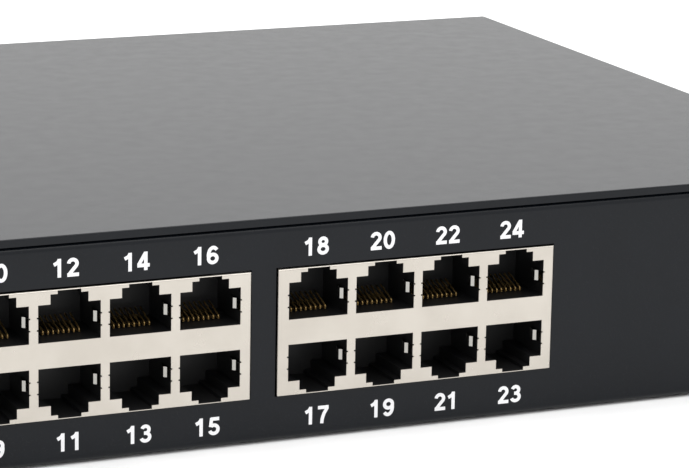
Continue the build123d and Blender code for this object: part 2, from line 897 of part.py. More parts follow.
with BuildPart() as board_coils:
    with Locations((block_xs[0], switch_chip_y, board_top)):
        with GridLocations(coil_spacing, 0, coil_count, 1):
            Box(*coil_size, align=(MID, MID, MIN))
board_coils.part.label = "board_coils"
export_step(board_coils.part, "parts/board_coils.step")

with BuildPart() as board_capacitors:
    with Locations((block_xs[-1], switch_chip_y, board_top)):
        with GridLocations(capacitor_spacing, capacitor_spacing, *capacitor_grid):
            Cylinder(capacitor_radius, capacitor_height, align=(MID, MID, MIN))
board_capacitors.part.label = "board_capacitors"
export_step(board_capacitors.part, "parts/board_capacitors.step")

with BuildPart() as clock_crystal:
    with Locations((board_x + sink_size / 2 + crystal_size[0], switch_chip_y, board_top)):
        Box(*crystal_size, align=(MID, MID, MIN))
    fillet(clock_crystal.edges().filter_by(Axis.Z), crystal_round)
clock_crystal.part.label = "clock_crystal"
export_step(clock_crystal.part, "parts/clock_crystal.step")

# Sockets for the leads on the three boards.
ribbon_y = board_front + ribbon_setback
ribbon_ends = (led_board_x + led_board_width / 2 - header_inset, board_left + header_inset)
dc_y = psu_y - dc_offset
dc_left = psu_x + psu_width / 2 - dc_inset
dc_right = board_left + header_inset
fan_header_x = board_right - fan_header_inset
fan_header_rear = board_rear - fan_header_setback
ac_x = psu_x + ac_offset
ac_rear = psu_rear - ac_setback
with BuildPart() as lead_headers:
    with Locations([(x, ribbon_y, board_top) for x in ribbon_ends]):
        Box(*ribbon_header, header_height, align=(MID, MID, MIN))
    with Locations((dc_left, dc_y, psu_top)):
        Box(*dc_header, align=(MAX, MID, MIN))
    with Locations((dc_right, dc_y, board_top)):
        Box(*dc_header, align=(MIN, MID, MIN))
    with Locations((fan_header_x, fan_header_rear, board_top)):
        Box(*fan_header, align=(MID, MAX, MIN))
    with Locations((ac_x, ac_rear, psu_top)):
        Box(*terminal_block, align=(MID, MAX, MIN))
lead_headers.part.label = "lead_headers"
export_step(lead_headers.part, "parts/lead_headers.step")

# ---------------------------------------------------------------- indicators
led_xs = [led_board_x + (column - (led_columns - 1) / 2) * led_pitch for column in range(led_columns)]
with BuildPart() as indicator_leds:
    with Locations([(x, front_y + setback, board_top) for x in led_xs for setback in led_row_setbacks]):
        Box(*led_size, align=(MID, MID, MIN))
indicator_leds.part.label = "indicator_leds"
export_step(indicator_leds.part, "parts/indicator_leds.step")

# One clear moulding: a bar that carries a bent rod from each LED to its panel hole.
leg_foot = board_top + led_size[2] + pipe_led_gap
with BuildPart() as light_pipes:
    with Locations((led_board_x, front_y + carrier_setback, (led_rows[0] + led_rows[1]) / 2)):
        Box(
            led_pitch * (led_columns - 1) + 2 * pipe_leg,
            carrier_depth,
            led_row_rise + 2 * pipe_leg,
            align=(MID, MIN, MID),
        )
    for z, setback in zip(led_rows, led_row_setbacks):
        with Locations(
            [
                Plane(origin=(x, front_y + pipe_end_gap, z), x_dir=(1, 0, 0), z_dir=(0, 1, 0))
                for x in led_xs
            ]
        ):
            Cylinder(pipe_radius, setback - pipe_end_gap, align=(MID, MID, MIN))
        with Locations([(x, front_y + setback, leg_foot) for x in led_xs]):
            Box(pipe_leg, pipe_leg, z + pipe_leg / 2 - leg_foot, align=(MID, MID, MIN))
light_pipes.part.label = "light_pipes"
export_step(light_pipes.part, "parts/light_pipes.step")

ribbon_low = board_top + header_height
with BuildPart() as led_ribbon:
    with BuildSketch(Plane.XZ.offset(-ribbon_y)):
        with BuildLine():
            FilletPolyline(
                (ribbon_ends[0], ribbon_low),
                (ribbon_ends[0], ribbon_low + ribbon_rise),
                (ribbon_ends[1], ribbon_low + ribbon_rise),
                (ribbon_ends[1], ribbon_low),
                radius=wire_bend,
            )
        trace(line_width=ribbon_gauge)
    extrude(amount=ribbon_width / 2, both=True)
led_ribbon.part.label = "led_ribbon"
export_step(led_ribbon.part, "parts/led_ribbon.step")

# ---------------------------------------------------------------- supply board parts
core_x = psu_x - core_offset
with BuildPart() as psu_transformer_core:
    with Locations((core_x, psu_y, psu_top)):
        Box(*transformer_core, align=(MID, MID, MIN))
        for side in (-1, 1):
            with Locations((0, side * (transformer_core[1] / 4), transformer_core[2] / 2)):
                Box(
                    transformer_core[0],
                    transformer_window[1],
                    transformer_window[0],
                    mode=Mode.SUBTRACT,
                )
psu_transformer_core.part.label = "psu_transformer_core"
export_step(psu_transformer_core.part, "parts/psu_transformer_core.step")

leg_width = transformer_core[1] / 2 - transformer_window[1]
with BuildPart() as psu_transformer_winding:
    with Locations((core_x, psu_y, psu_top + transformer_core[2] / 2)):
        Box(
            transformer_core[0] + 2 * winding_overhang,
            transformer_core[1] / 2 + transformer_window[1] - 2 * winding_ease,
            transformer_window[0] - 2 * winding_ease,
        )
        Box(
            transformer_core[0] + 2 * winding_ease,
            leg_width + 2 * winding_ease,
            transformer_window[0],
            mode=Mode.SUBTRACT,
        )
psu_transformer_winding.part.label = "psu_transformer_winding"
export_step(psu_transformer_winding.part, "parts/psu_transformer_winding.step")

with BuildPart() as psu_bulk_capacitor:
    with Locations((psu_x - psu_width / 2 + bulk_inset, psu_y + bulk_offset, psu_top)):
        Cylinder(bulk_radius, bulk_height, align=(MID, MID, MIN))
    fillet(psu_bulk_capacitor.edges().filter_by(GeomType.CIRCLE), bulk_round)
psu_bulk_capacitor.part.label = "psu_bulk_capacitor"
export_step(psu_bulk_capacitor.part, "parts/psu_bulk_capacitor.step")

psu_sink_x = psu_x - psu_sink_shift
psu_sink_y = psu_y - psu_sink_offset
psu_sink_front = psu_sink_y - psu_sink_size[1] / 2
with BuildPart() as psu_heatsink:
    with Locations((psu_sink_x, psu_sink_y, psu_top)):
        Box(*psu_sink_size, align=(MID, MID, MIN))
    with Locations((psu_sink_x, psu_sink_front, psu_top + psu_sink_size[2])):
        Box(psu_sink_size[0], psu_sink_fold, psu_sink_size[1], align=(MID, MIN, MAX))
psu_heatsink.part.label = "psu_heatsink"
export_step(psu_heatsink.part, "parts/psu_heatsink.step")

with BuildPart() as psu_transistor:
    with Locations((psu_sink_x, psu_sink_y + psu_sink_size[1] / 2, psu_top)):
        Box(*transistor_size, align=(MID, MIN, MIN))
psu_transistor.part.label = "psu_transistor"
export_step(psu_transistor.part, "parts/psu_transistor.step")

with BuildPart() as psu_choke:
    with Locations((psu_x + choke_spot[0], psu_y + choke_spot[1], psu_top + choke_minor)):
        Torus(choke_major, choke_minor)
psu_choke.part.label = "psu_choke"
export_step(psu_choke.part, "parts/psu_choke.step")

with BuildPart() as psu_fuse:
    with Locations((psu_x - fuse_offset, psu_rear - fuse_setback, psu_top + fuse_radius)):
        Cylinder(fuse_radius, fuse_length, rotation=(0, 90, 0))
psu_fuse.part.label = "psu_fuse"
export_step(psu_fuse.part, "parts/psu_fuse.step")

# ---------------------------------------------------------------- mains inlet
inlet_pins = [
    (-inlet_pin_span / 2, -inlet_pin_offset),
    (inlet_pin_span / 2, -inlet_pin_offset),
    (0, inlet_pin_offset),
]
with BuildPart(inlet_plane) as power_inlet:
    Box(inlet_flange_width, inlet_flange_height, inlet_flange_gauge, align=(MID, MID, MIN))
    fillet(power_inlet.edges().filter_by(Axis.Y), inlet_flange_corner)
    Box(inlet_body_width, inlet_body_height, inlet_body_depth, align=(MID, MID, MAX))
    with BuildSketch(inlet_plane.offset(inlet_flange_gauge)) as recess:
        Rectangle(inlet_recess_width, inlet_recess_height)
        chamfer(recess.vertices().sort_by(Axis.Y)[-2:], inlet_recess_chamfer)
    extrude(amount=-inlet_recess_depth, mode=Mode.SUBTRACT)
    with Locations([(x, y, 0) for x, y in inlet_pins]):
        Box(
            inlet_pin_gauge,
            inlet_pin_width,
            inlet_body_depth,
            align=(MID, MID, MAX),
            mode=Mode.SUBTRACT,
        )
    with GridLocations(inlet_screw_span, 0, 2, 1):
        Cylinder(m3_radius + screw_ease, 2 * inlet_flange_gauge, mode=Mode.SUBTRACT)
power_inlet.part.label = "power_inlet"
export_step(power_inlet.part, "parts/power_inlet.step")

inlet_pin_tip = inlet_flange_gauge - inlet_recess_depth + inlet_pin_reach
with BuildPart(inlet_plane) as inlet_blades:
    with Locations([(x, y, -inlet_body_depth) for x, y in inlet_pins]):
        Box(
            inlet_pin_gauge,
            inlet_pin_width,
            inlet_body_depth + inlet_pin_tip,
            align=(MID, MID, MIN),
        )
        Box(lug_gauge, inlet_pin_width, inlet_tab_length, align=(MID, MID, MAX))
inlet_blades.part.label = "inlet_blades"
export_step(inlet_blades.part, "parts/inlet_blades.step")

flange_screw_length = inlet_flange_gauge + tray_gauge + nut_height + screw_proud
flange_screw = cross_screw(m3_radius, flange_screw_length, m3_head_radius, m3_head_height)
with BuildPart(inlet_plane) as inlet_screws:
    with Locations((0, 0, inlet_flange_gauge)):
        with GridLocations(inlet_screw_span, 0, 2, 1):
            add(flange_screw)
inlet_screws.part.label = "inlet_screws"
export_step(inlet_screws.part, "parts/inlet_screws.step")

# Six-sided nuts behind the rear panel, with the washer of the earth lead under one.
ground_plane = Plane(
    origin=(-ground_x, rear_y, base_z + ground_height), x_dir=(-1, 0, 0), z_dir=(0, 1, 0)
)
with BuildPart() as panel_nuts:
    with BuildSketch(inlet_plane.offset(-tray_gauge)):
        with GridLocations(inlet_screw_span, 0, 2, 1):
            RegularPolygon(m3_radius + nut_wall, 6)
            Circle(m3_radius + thread_ease, mode=Mode.SUBTRACT)
    extrude(amount=-nut_height)
    with BuildSketch(ground_plane.offset(-tray_gauge - lug_gauge)):
        RegularPolygon(m4_radius + nut_wall, 6)
        Circle(m4_radius + thread_ease, mode=Mode.SUBTRACT)
    extrude(amount=-nut_height)
panel_nuts.part.label = "panel_nuts"
export_step(panel_nuts.part, "parts/panel_nuts.step")

ground_screw_length = tray_gauge + lug_gauge + nut_height + screw_proud
with BuildPart(ground_plane) as ground_screw:
    add(cross_screw(m4_radius, ground_screw_length, m4_head_radius, m4_head_height))
ground_screw.part.label = "ground_screw"
export_step(ground_screw.part, "parts/ground_screw.step")

# ---------------------------------------------------------------- power rocker
rocker_sweep = (rocker_cap_half_length**2 + rocker_cap_end**2) ** 0.5
rocker_slot_width = rocker_cap_width + 2 * rocker_side_gap
rocker_slot_height = 2 * (rocker_sweep + rocker_end_gap)
with BuildPart(rocker_plane) as rocker_housing:
    Box(rocker_frame_width, rocker_frame_height, rocker_frame_gauge, align=(MID, MID, MIN))
    fillet(rocker_housing.edges().filter_by(Axis.Y), rocker_frame_corner)
    fillet(rocker_housing.faces().sort_by(Axis.Y)[-1].edges(), rocker_frame_round)
    Box(rocker_body_width, rocker_body_height, rocker_body_depth, align=(MID, MID, MAX))
    with Locations((0, 0, rocker_frame_gauge)):
        Box(
            rocker_slot_width,
            rocker_slot_height,
            rocker_frame_gauge + rocker_body_depth - rocker_floor,
            align=(MID, MID, MAX),
            mode=Mode.SUBTRACT,
        )
    Cylinder(
        trunnion_radius + trunnion_ease,
        rocker_body_width,
        rotation=(0, 90, 0),
        mode=Mode.SUBTRACT,
    )
rocker_housing.part.label = "rocker_housing"
export_step(rocker_housing.part, "parts/rocker_housing.step")

# The cap rests tilted, its lower end pressed in.
cap_plane = rocker_plane.rotated((rocker_tilt, 0, 0))
cap_profile_plane = Plane(
    origin=cap_plane.from_local_coords((-rocker_cap_width / 2, 0, 0)),
    x_dir=cap_plane.y_dir,
    z_dir=cap_plane.x_dir,
)
with BuildPart() as rocker_cap:
    with BuildSketch(cap_profile_plane):
        with BuildLine():
            ThreePointArc(
                (-rocker_cap_half_length, rocker_cap_end),
                (0, rocker_cap_valley),
                (rocker_cap_half_length, rocker_cap_end),
            )
            Polyline(
                (rocker_cap_half_length, rocker_cap_end),
                (rocker_cap_half_length - rocker_cap_draft, -rocker_cap_waist),
                (rocker_cap_half_length / 2, -rocker_cap_root),
                (-rocker_cap_half_length / 2, -rocker_cap_root),
                (-rocker_cap_half_length + rocker_cap_draft, -rocker_cap_waist),
                (-rocker_cap_half_length, rocker_cap_end),
            )
        make_face()
    extrude(amount=rocker_cap_width)
    fillet(rocker_cap.faces().filter_by(GeomType.CYLINDER).edges(), rocker_cap_round)
    with Locations(cap_plane):
        Cylinder(
            trunnion_radius, rocker_cap_width + 2 * trunnion_length, rotation=(0, 90, 0)
        )
rocker_cap.part.label = "rocker_cap"
export_step(rocker_cap.part, "parts/rocker_cap.step")

with BuildPart(rocker_plane) as rocker_terminals:
    with Locations((0, 0, -rocker_body_depth)):
        with GridLocations(0, rocker_terminal_span, 1, 2):
            Box(inlet_pin_width, lug_gauge, inlet_tab_length, align=(MID, MID, MAX))
rocker_terminals.part.label = "rocker_terminals"
export_step(rocker_terminals.part, "parts/rocker_terminals.step")

# ---------------------------------------------------------------- fan
fan_base_depth = fan_depth - fan_base_gauge
hub_radius = bearing_radius + bearing_wall
with BuildPart(fan_plane) as fan_frame:
    Box(fan_size, fan_size, fan_depth, align=(MID, MID, MIN))
    fillet(fan_frame.edges().filter_by(Axis.Y), fan_corner)
    Cylinder(fan_bore_radius, fan_depth, align=(MID, MID, MIN), mode=Mode.SUBTRACT)
    with GridLocations(2 * fan_screw_reach, 2 * fan_screw_reach, 2, 2):
        Cylinder(m3_radius + thread_ease, fan_depth, align=(MID, MID, MIN), mode=Mode.SUBTRACT)
    with Locations((0, 0, fan_base_depth)):
        Cylinder(stator_radius, fan_base_gauge, align=(MID, MID, MIN))
        with PolarLocations(0, fan_strut_count, start_angle=fan_strut_start):
            Box(
                fan_bore_radius + fan_wall / 2,
                fan_strut_width,
                fan_base_gauge,
                align=(MIN, MID, MIN),
            )
    with Locations((0, 0, bearing_front_gap)):
        Cylinder(hub_radius, fan_base_depth - bearing_front_gap, align=(MID, MID, MIN))
        Cylinder(
            bearing_radius,
            fan_base_depth - bearing_front_gap,
            align=(MID, MID, MIN),
            mode=Mode.SUBTRACT,
        )
fan_frame.part.label = "fan_frame"
export_step(fan_frame.part, "parts/fan_frame.step")

with BuildPart(fan_plane) as fan_bearing:
    with Locations((0, 0, bearing_front_gap)):
        Cylinder(bearing_radius, fan_base_depth - bearing_front_gap, align=(MID, MID, MIN))
        Cylinder(
            shaft_radius + shaft_ease,
            fan_base_depth - bearing_front_gap,
            align=(MID, MID, MIN),
            mode=Mode.SUBTRACT,
        )
fan_bearing.part.label = "fan_bearing"
export_step(fan_bearing.part, "parts/fan_bearing.step")

stator_depth = fan_base_depth - bearing_front_gap - 2 * stator_gap
with BuildPart(fan_plane) as fan_stator:
    with Locations((0, 0, bearing_front_gap + stator_gap)):
        Cylinder(stator_radius, stator_depth, align=(MID, MID, MIN))
        Cylinder(hub_radius, stator_depth, align=(MID, MID, MIN), mode=Mode.SUBTRACT)
        with PolarLocations(stator_radius, stator_slot_count):
            Box(*stator_slot, stator_depth, align=(MID, MID, MIN), mode=Mode.SUBTRACT)
fan_stator.part.label = "fan_stator"
export_step(fan_stator.part, "parts/fan_stator.step")

blade_root = rotor_radius - rotor_wall / 2
blade_tip = fan_bore_radius - blade_gap
with BuildPart(fan_plane) as fan_rotor:
    with Locations((0, 0, rotor_front_gap)):
        Cylinder(rotor_radius, rotor_cup_depth, align=(MID, MID, MIN))
        with PolarLocations(0, blade_count):
            with Locations(((blade_root + blade_tip) / 2, 0, rotor_cup_depth / 2)):
                Box(
                    blade_tip - blade_root, blade_gauge, rotor_cup_depth, rotation=(blade_angle, 0, 0)
                )
    with Locations((0, 0, rotor_front_gap + rotor_wall)):
        Cylinder(
            rotor_radius - rotor_wall,
            rotor_cup_depth - rotor_wall,
            align=(MID, MID, MIN),
            mode=Mode.SUBTRACT,
        )
    with Locations((0, 0, rotor_front_gap)):
        Cylinder(shaft_radius, rotor_wall, align=(MID, MID, MIN), mode=Mode.SUBTRACT)
fan_rotor.part.label = "fan_rotor"
export_step(fan_rotor.part, "parts/fan_rotor.step")

with BuildPart(fan_plane) as fan_shaft:
    with Locations((0, 0, rotor_front_gap)):
        Cylinder(shaft_radius, shaft_length, align=(MID, MID, MIN))
fan_shaft.part.label = "fan_shaft"
export_step(fan_shaft.part, "parts/fan_shaft.step")

# Welded guard: two crossed bars with an eye for each screw, and three rings on top.
guard_eye_radius = m3_radius + screw_ease
with BuildPart(fan_outer_plane) as fan_guard:
    with BuildSketch(fan_outer_plane):
        for angle in (45, 135):
            Rectangle(2 * fan_screw_reach * 2**0.5, guard_wire, rotation=angle)
        with GridLocations(2 * fan_screw_reach, 2 * fan_screw_reach, 2, 2):
            Circle(guard_eye_radius + guard_wire)
            Circle(guard_eye_radius, mode=Mode.SUBTRACT)
    extrude(amount=guard_wire)
    with BuildSketch(fan_outer_plane.offset(guard_ring_lift)):
        for share in guard_ring_shares:
            Circle(fan_size * share + guard_wire / 2)
            Circle(fan_size * share - guard_wire / 2, mode=Mode.SUBTRACT)
    extrude(amount=guard_wire)
fan_guard.part.label = "fan_guard"
export_step(fan_guard.part, "parts/fan_guard.step")

fan_screw_length = guard_wire + tray_gauge + fan_depth - screw_proud
fan_screw = cross_screw(m3_radius, fan_screw_length, m3_head_radius, m3_head_height)
with BuildPart(fan_outer_plane) as fan_screws:
    with Locations((0, 0, guard_wire)):
        with GridLocations(2 * fan_screw_reach, 2 * fan_screw_reach, 2, 2):
            add(fan_screw)
fan_screws.part.label = "fan_screws"
export_step(fan_screws.part, "parts/fan_screws.step")

# ---------------------------------------------------------------- leads inside the case
inlet_tab_y = rear_y - inlet_body_depth - inlet_tab_length
rocker_tab_y = rear_y - rocker_body_depth - inlet_tab_length
live_x = inlet_plane.origin.X - inlet_pin_span / 2
neutral_x = inlet_plane.origin.X + inlet_pin_span / 2
pin_z = inlet_plane.origin.Z - inlet_pin_offset
earth_z = inlet_plane.origin.Z + inlet_pin_offset
switch_x = rocker_plane.origin.X
upper_z = rocker_plane.origin.Z + rocker_terminal_span / 2
lower_z = rocker_plane.origin.Z - rocker_terminal_span / 2
ac_z = psu_top + lead_height
turn_y = inlet_tab_y - turn_gap
arch_y = turn_y + 2 * lead_stagger
arch_z = upper_z + arch_rise
ac_left = ac_x - ac_spacing / 2
ac_right = ac_x + ac_spacing / 2
ac_routes = [
    # inlet to the board's socket
    [
        (neutral_x, inlet_tab_y, pin_z),
        (neutral_x, turn_y, pin_z),
        (ac_left, (turn_y + ac_rear) / 2 - lead_stagger, ac_z),
        (ac_left, ac_rear, ac_z),
    ],
    # inlet to the rocker, over the top
    [
        (live_x, inlet_tab_y, pin_z),
        (live_x, turn_y, pin_z),
        (live_x + arch_foot, turn_y, arch_z),
        (switch_x - arch_foot, arch_y, arch_z),
        (switch_x, arch_y, upper_z),
        (switch_x, rocker_tab_y, upper_z),
    ],
    # rocker to the board's socket
    [
        (switch_x, rocker_tab_y, lower_z),
        (switch_x, turn_y + lead_stagger, lower_z),
        (ac_right, turn_y - lead_stagger, ac_z),
        (ac_right, ac_rear, ac_z),
    ],
]
with BuildPart() as mains_wires:
    for route in ac_routes:
        add(tube(route, wire_bend, wire_radius))
mains_wires.part.label = "mains_wires"
export_step(mains_wires.part, "parts/mains_wires.step")

# Earth lead from the inlet's middle blade to a ring lug under the earth screw.
lug_x = ground_plane.origin.X
lug_z = ground_plane.origin.Z
lug_wire_y = rear_y - tray_gauge - lug_gauge / 2 - thin_wire_radius
low_run_z = floor_z + earth_drop
earth_x = inlet_plane.origin.X
earth_route = [
    (earth_x, inlet_tab_y, earth_z),
    (earth_x, inlet_tab_y - earth_turn, earth_z),
    (earth_x + earth_step, inlet_tab_y - earth_turn, low_run_z),
    (lug_x, inlet_tab_y + earth_forward, low_run_z),
    (lug_x, lug_wire_y, low_run_z),
    (lug_x, lug_wire_y, lug_z - lug_radius + lug_bite),
]
with BuildPart() as ground_wire:
    add(tube(earth_route, thin_wire_bend, thin_wire_radius))
    with Locations(ground_plane.offset(-tray_gauge)):
        Cylinder(lug_radius, lug_gauge, align=(MID, MID, MAX))
        Cylinder(
            m4_radius + screw_ease, lug_gauge, align=(MID, MID, MAX), mode=Mode.SUBTRACT
        )
ground_wire.part.label = "ground_wire"
export_step(ground_wire.part, "parts/ground_wire.step")

dc_start_z = psu_top + lead_height
dc_end_z = board_top + lead_height
with BuildPart() as supply_wires:
    for y in (dc_y - wire_spacing / 2, dc_y + wire_spacing / 2):
        dc_route = [
            (dc_left, y, dc_start_z),
            (dc_left + dc_straight, y, dc_start_z),
            ((dc_left + dc_right) / 2, y, dc_start_z + dc_rise),
            (dc_right - dc_straight, y, dc_end_z),
            (dc_right, y, dc_end_z),
        ]
        add(tube(dc_route, wire_bend, thin_wire_radius))
supply_wires.part.label = "supply_wires"
export_step(supply_wires.part, "parts/supply_wires.step")

fan_lead_y = rear_y - tray_gauge - fan_depth
fan_lead_x = fan_x - fan_screw_reach
fan_lead_z = base_z + fan_lead_height
fan_lead_end = board_top + fan_header[2] / 2
fan_lead_span = fan_lead_y - fan_header_rear
fan_route = [
    (fan_lead_x, fan_lead_y, fan_lead_z),
    (fan_lead_x, fan_lead_y - fan_lead_shares[0] * fan_lead_span, fan_lead_z),
    (fan_header_x, fan_lead_y - fan_lead_shares[1] * fan_lead_span, fan_lead_end),
    (fan_header_x, fan_header_rear, fan_lead_end),
]
with BuildPart() as fan_lead:
    add(tube(fan_route, 2 * wire_bend, thin_wire_radius))
fan_lead.part.label = "fan_lead"
export_step(fan_lead.part, "parts/fan_lead.step")
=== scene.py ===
# %% [markdown]
# # A rackmount network switch
# The case, the jacks and everything that moves come from a solid model that is loaded here
# as a fixed frame. This lesson gives each of its pieces a believable finish, prints the port
# numbers, and makes with Geometry Nodes the small repeated things that plain solids only
# hint at: sprung contact wires, formed screws, a welded fan guard and the indicators' lenses.

# %% Load the frame
import json
from math import cos, pi, radians, sin, sqrt

import bmesh
import bpy
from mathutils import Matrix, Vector
from mathutils.geometry import delaunay_2d_cdt


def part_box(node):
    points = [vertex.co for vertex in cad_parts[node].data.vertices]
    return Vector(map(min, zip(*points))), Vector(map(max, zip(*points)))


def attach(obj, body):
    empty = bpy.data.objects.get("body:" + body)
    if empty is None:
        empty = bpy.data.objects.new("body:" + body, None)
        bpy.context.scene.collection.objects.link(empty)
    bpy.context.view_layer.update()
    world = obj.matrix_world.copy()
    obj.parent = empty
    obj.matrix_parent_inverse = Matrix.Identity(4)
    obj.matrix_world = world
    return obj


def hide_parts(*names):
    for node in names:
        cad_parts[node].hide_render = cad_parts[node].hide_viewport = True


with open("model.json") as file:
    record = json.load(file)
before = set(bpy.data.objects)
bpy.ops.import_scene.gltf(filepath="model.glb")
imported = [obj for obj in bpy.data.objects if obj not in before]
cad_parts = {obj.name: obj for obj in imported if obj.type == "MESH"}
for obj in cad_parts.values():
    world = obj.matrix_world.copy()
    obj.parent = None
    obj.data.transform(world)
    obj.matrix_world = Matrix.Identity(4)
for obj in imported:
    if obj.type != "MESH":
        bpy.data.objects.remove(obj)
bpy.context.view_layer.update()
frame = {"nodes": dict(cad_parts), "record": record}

MM = 0.001
nodes = frame["nodes"]


# %% [markdown]
# ## Adding objects
# Camera, light, meshes and curves all join the scene in the same way, so one helper does
# it. The other two make a mesh first, from points or from a bmesh.

# %% Helpers for objects
def link_object(name, data):
    """A new object at the origin, linked into the scene."""
    obj = bpy.data.objects.new(name, data)
    bpy.context.collection.objects.link(obj)
    return obj


def mesh_object(name, verts, faces, edges=()):
    """A new mesh object from points in metres."""
    mesh = bpy.data.meshes.new(name)
    mesh.from_pydata([tuple(v) for v in verts], edges, faces)
    return link_object(name, mesh)


def bmesh_object(name, work):
    """A new mesh object from a bmesh, with its faces turned outwards."""
    bmesh.ops.recalc_face_normals(work, faces=work.faces[:])
    mesh = bpy.data.meshes.new(name)
    work.to_mesh(mesh)
    work.free()
    return link_object(name, mesh)


# %% [markdown]
# ## Camera
# A product shot of a flat case works best with a long lens: the lines stay calm and the
# ports keep their proportions. The camera stands well to the left of the case's right end
# and looks down on the cover by about fourteen degrees, with a hint of roll from a hand-set
# tripod. It is placed from the cover's front corner, so it follows the model if that moves.

# %% Camera
tray_low, tray_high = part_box("chassis_tray")
cover_low, cover_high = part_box("top_cover")
front_corner = Vector((cover_high.x, cover_low.y, cover_low.z))
camera_data = bpy.data.cameras.new("camera")
camera_data.sensor_width = 36.0
camera_data.lens = 170.78
camera = link_object("camera", camera_data)
camera.location = front_corner + Vector((-367.149, -555.135, 186.668)) * MM
camera.rotation_euler = (radians(76.378), radians(-1.027), radians(-23.4705))
bpy.context.scene.camera = camera
print("camera", [round(v, 4) for v in camera.location])

# %% [markdown]
# ## Stage and light
# Black powder coat shows mostly what it mirrors at a shallow angle, so the top turns grey
# only when the room behind it is bright. A bright, even world does that job. One large soft
# panel overhead whitens the floor without shining on the upright faces, and keeps the
# shadow short. The view transform is the plain one, so that white stays white.

# %% Stage and light
world = bpy.data.worlds.new("studio")
world.use_nodes = True
world.node_tree.nodes["Background"].inputs["Color"].default_value = (1.0, 1.0, 1.0, 1.0)
world.node_tree.nodes["Background"].inputs["Strength"].default_value = 1.16
bpy.context.scene.world = world
bpy.context.scene.view_settings.view_transform = "Standard"

softbox_data = bpy.data.lights.new("overhead_softbox", "AREA")
softbox_data.size = 4.0
softbox_data.energy = 85.0
softbox = link_object("overhead_softbox", softbox_data)
softbox.location = (0.0, -1.0, 3.0)

FLOOR_HALF = 12.0
floor = mesh_object(
    "floor",
    [(x * FLOOR_HALF, y * FLOOR_HALF, 0) for x, y in ((-1, -1), (1, -1), (1, 1), (-1, 1))],
    [(0, 1, 2, 3)],
)


# %% [markdown]
# ## Shared surface effects
# A real surface is never one flat value. Five small effects are shared by the finishes, and
# each is a node group with named inputs: soft patches that vary colour and roughness, a
# fine grain that feeds bump, drawn-out lines for rolled metal, a speckle for powder paint
# and dust, and a mask that tells the outside of a part from its depths.

# %% Helpers for node trees
def shader_group(name, inputs, outputs):
    """An empty shader node group with float inputs (name, default) and float outputs."""
    group = bpy.data.node_groups.new(name, "ShaderNodeTree")
    for socket, default in inputs:
        made = group.interface.new_socket(socket, in_out="INPUT", socket_type="NodeSocketFloat")
        made.default_value = default
    for socket in outputs:
        group.interface.new_socket(socket, in_out="OUTPUT", socket_type="NodeSocketFloat")
    return group, group.nodes.new("NodeGroupInput"), group.nodes.new("NodeGroupOutput")


def add_node(tree, kind, inputs=None, **settings):
    """A node with its settings, its fixed inputs, and links from any sockets given."""
    node = tree.nodes.new(kind)
    for key, value in settings.items():
        setattr(node, key, value)
    for key, value in (inputs or {}).items():
        if isinstance(value, bpy.types.NodeSocket):
            tree.links.new(value, node.inputs[key])
        else:
            node.inputs[key].default_value = value
    return node


def per_metre(tree, size_in_mm):
    """The texture scale that repeats once in a size given in millimetres."""
    scale = add_node(tree, "ShaderNodeMath", {0: 1 / MM, 1: size_in_mm}, operation="DIVIDE")
    return scale.outputs[0]


def object_place(tree):
    """The place on the object, in its own coordinates."""
    return add_node(tree, "ShaderNodeTexCoord").outputs["Object"]


# %% [markdown]
# Powder, plating and moulding all vary slowly over a few centimetres. One low noise stands
# for that, spread between the two values the finish asks for.

# %% Soft patches
patches, given, out = shader_group(
    "soft_patches", [("Size", 20.0), ("Low", 0.4), ("High", 0.5)], ["Value"]
)
cloud = add_node(
    patches,
    "ShaderNodeTexNoise",
    {
        "Vector": object_place(patches),
        "Scale": per_metre(patches, given.outputs["Size"]),
        "Detail": 3.0,
    },
)
spread = add_node(
    patches,
    "ShaderNodeMapRange",
    {
        "Value": cloud.outputs["Fac"],
        "From Min": 0.3,
        "From Max": 0.7,
        "To Min": given.outputs["Low"],
        "To Max": given.outputs["High"],
    },
)
patches.links.new(spread.outputs["Result"], out.inputs["Value"])

# %% [markdown]
# Under the patches every surface has a texture of its own, well below a millimetre. Its
# height feeds the bump of paints and plastics.

# %% Fine grain
grain, given, out = shader_group("fine_grain", [("Size", 0.5)], ["Height"])
pebbles = add_node(
    grain,
    "ShaderNodeTexNoise",
    {
        "Vector": object_place(grain),
        "Scale": per_metre(grain, given.outputs["Size"]),
        "Detail": 2.0,
        "Roughness": 0.6,
    },
)
grain.links.new(pebbles.outputs["Fac"], out.inputs["Height"])

# %% [markdown]
# Rolled sheet, drawn wire and extruded fins keep lines along the way they were pulled. The
# same noise does this once the place is squeezed along X.

# %% Drawn lines
drawn_lines, given, out = shader_group("drawn_lines", [("Size", 0.3)], ["Height"])
STRETCH = (0.03, 1.0, 1.0)  # rolled along X
fine = per_metre(drawn_lines, given.outputs["Size"])
pulled = add_node(
    drawn_lines,
    "ShaderNodeVectorMath",
    {0: object_place(drawn_lines), 1: STRETCH},
    operation="MULTIPLY",
)
streaks = add_node(
    drawn_lines,
    "ShaderNodeTexNoise",
    {"Vector": pulled.outputs[0], "Scale": fine, "Detail": 2.0},
)
drawn_lines.links.new(streaks.outputs["Fac"], out.inputs["Height"])

# %% [markdown]
# A few grains of a powder coat never flow out flat. Round cells with a cut-off radius make
# them, because the distance to a cell's centre is smallest at the centre.

# %% Speckle
speckle, given, out = shader_group("speckle", [("Size", 0.6), ("Amount", 0.2)], ["Mask"])
cells = add_node(
    speckle,
    "ShaderNodeTexVoronoi",
    {"Vector": object_place(speckle), "Scale": per_metre(speckle, given.outputs["Size"])},
)
dots = add_node(
    speckle,
    "ShaderNodeMath",
    {0: cells.outputs["Distance"], 1: given.outputs["Amount"]},
    operation="LESS_THAN",
)
speckle.links.new(dots.outputs[0], out.inputs["Mask"])
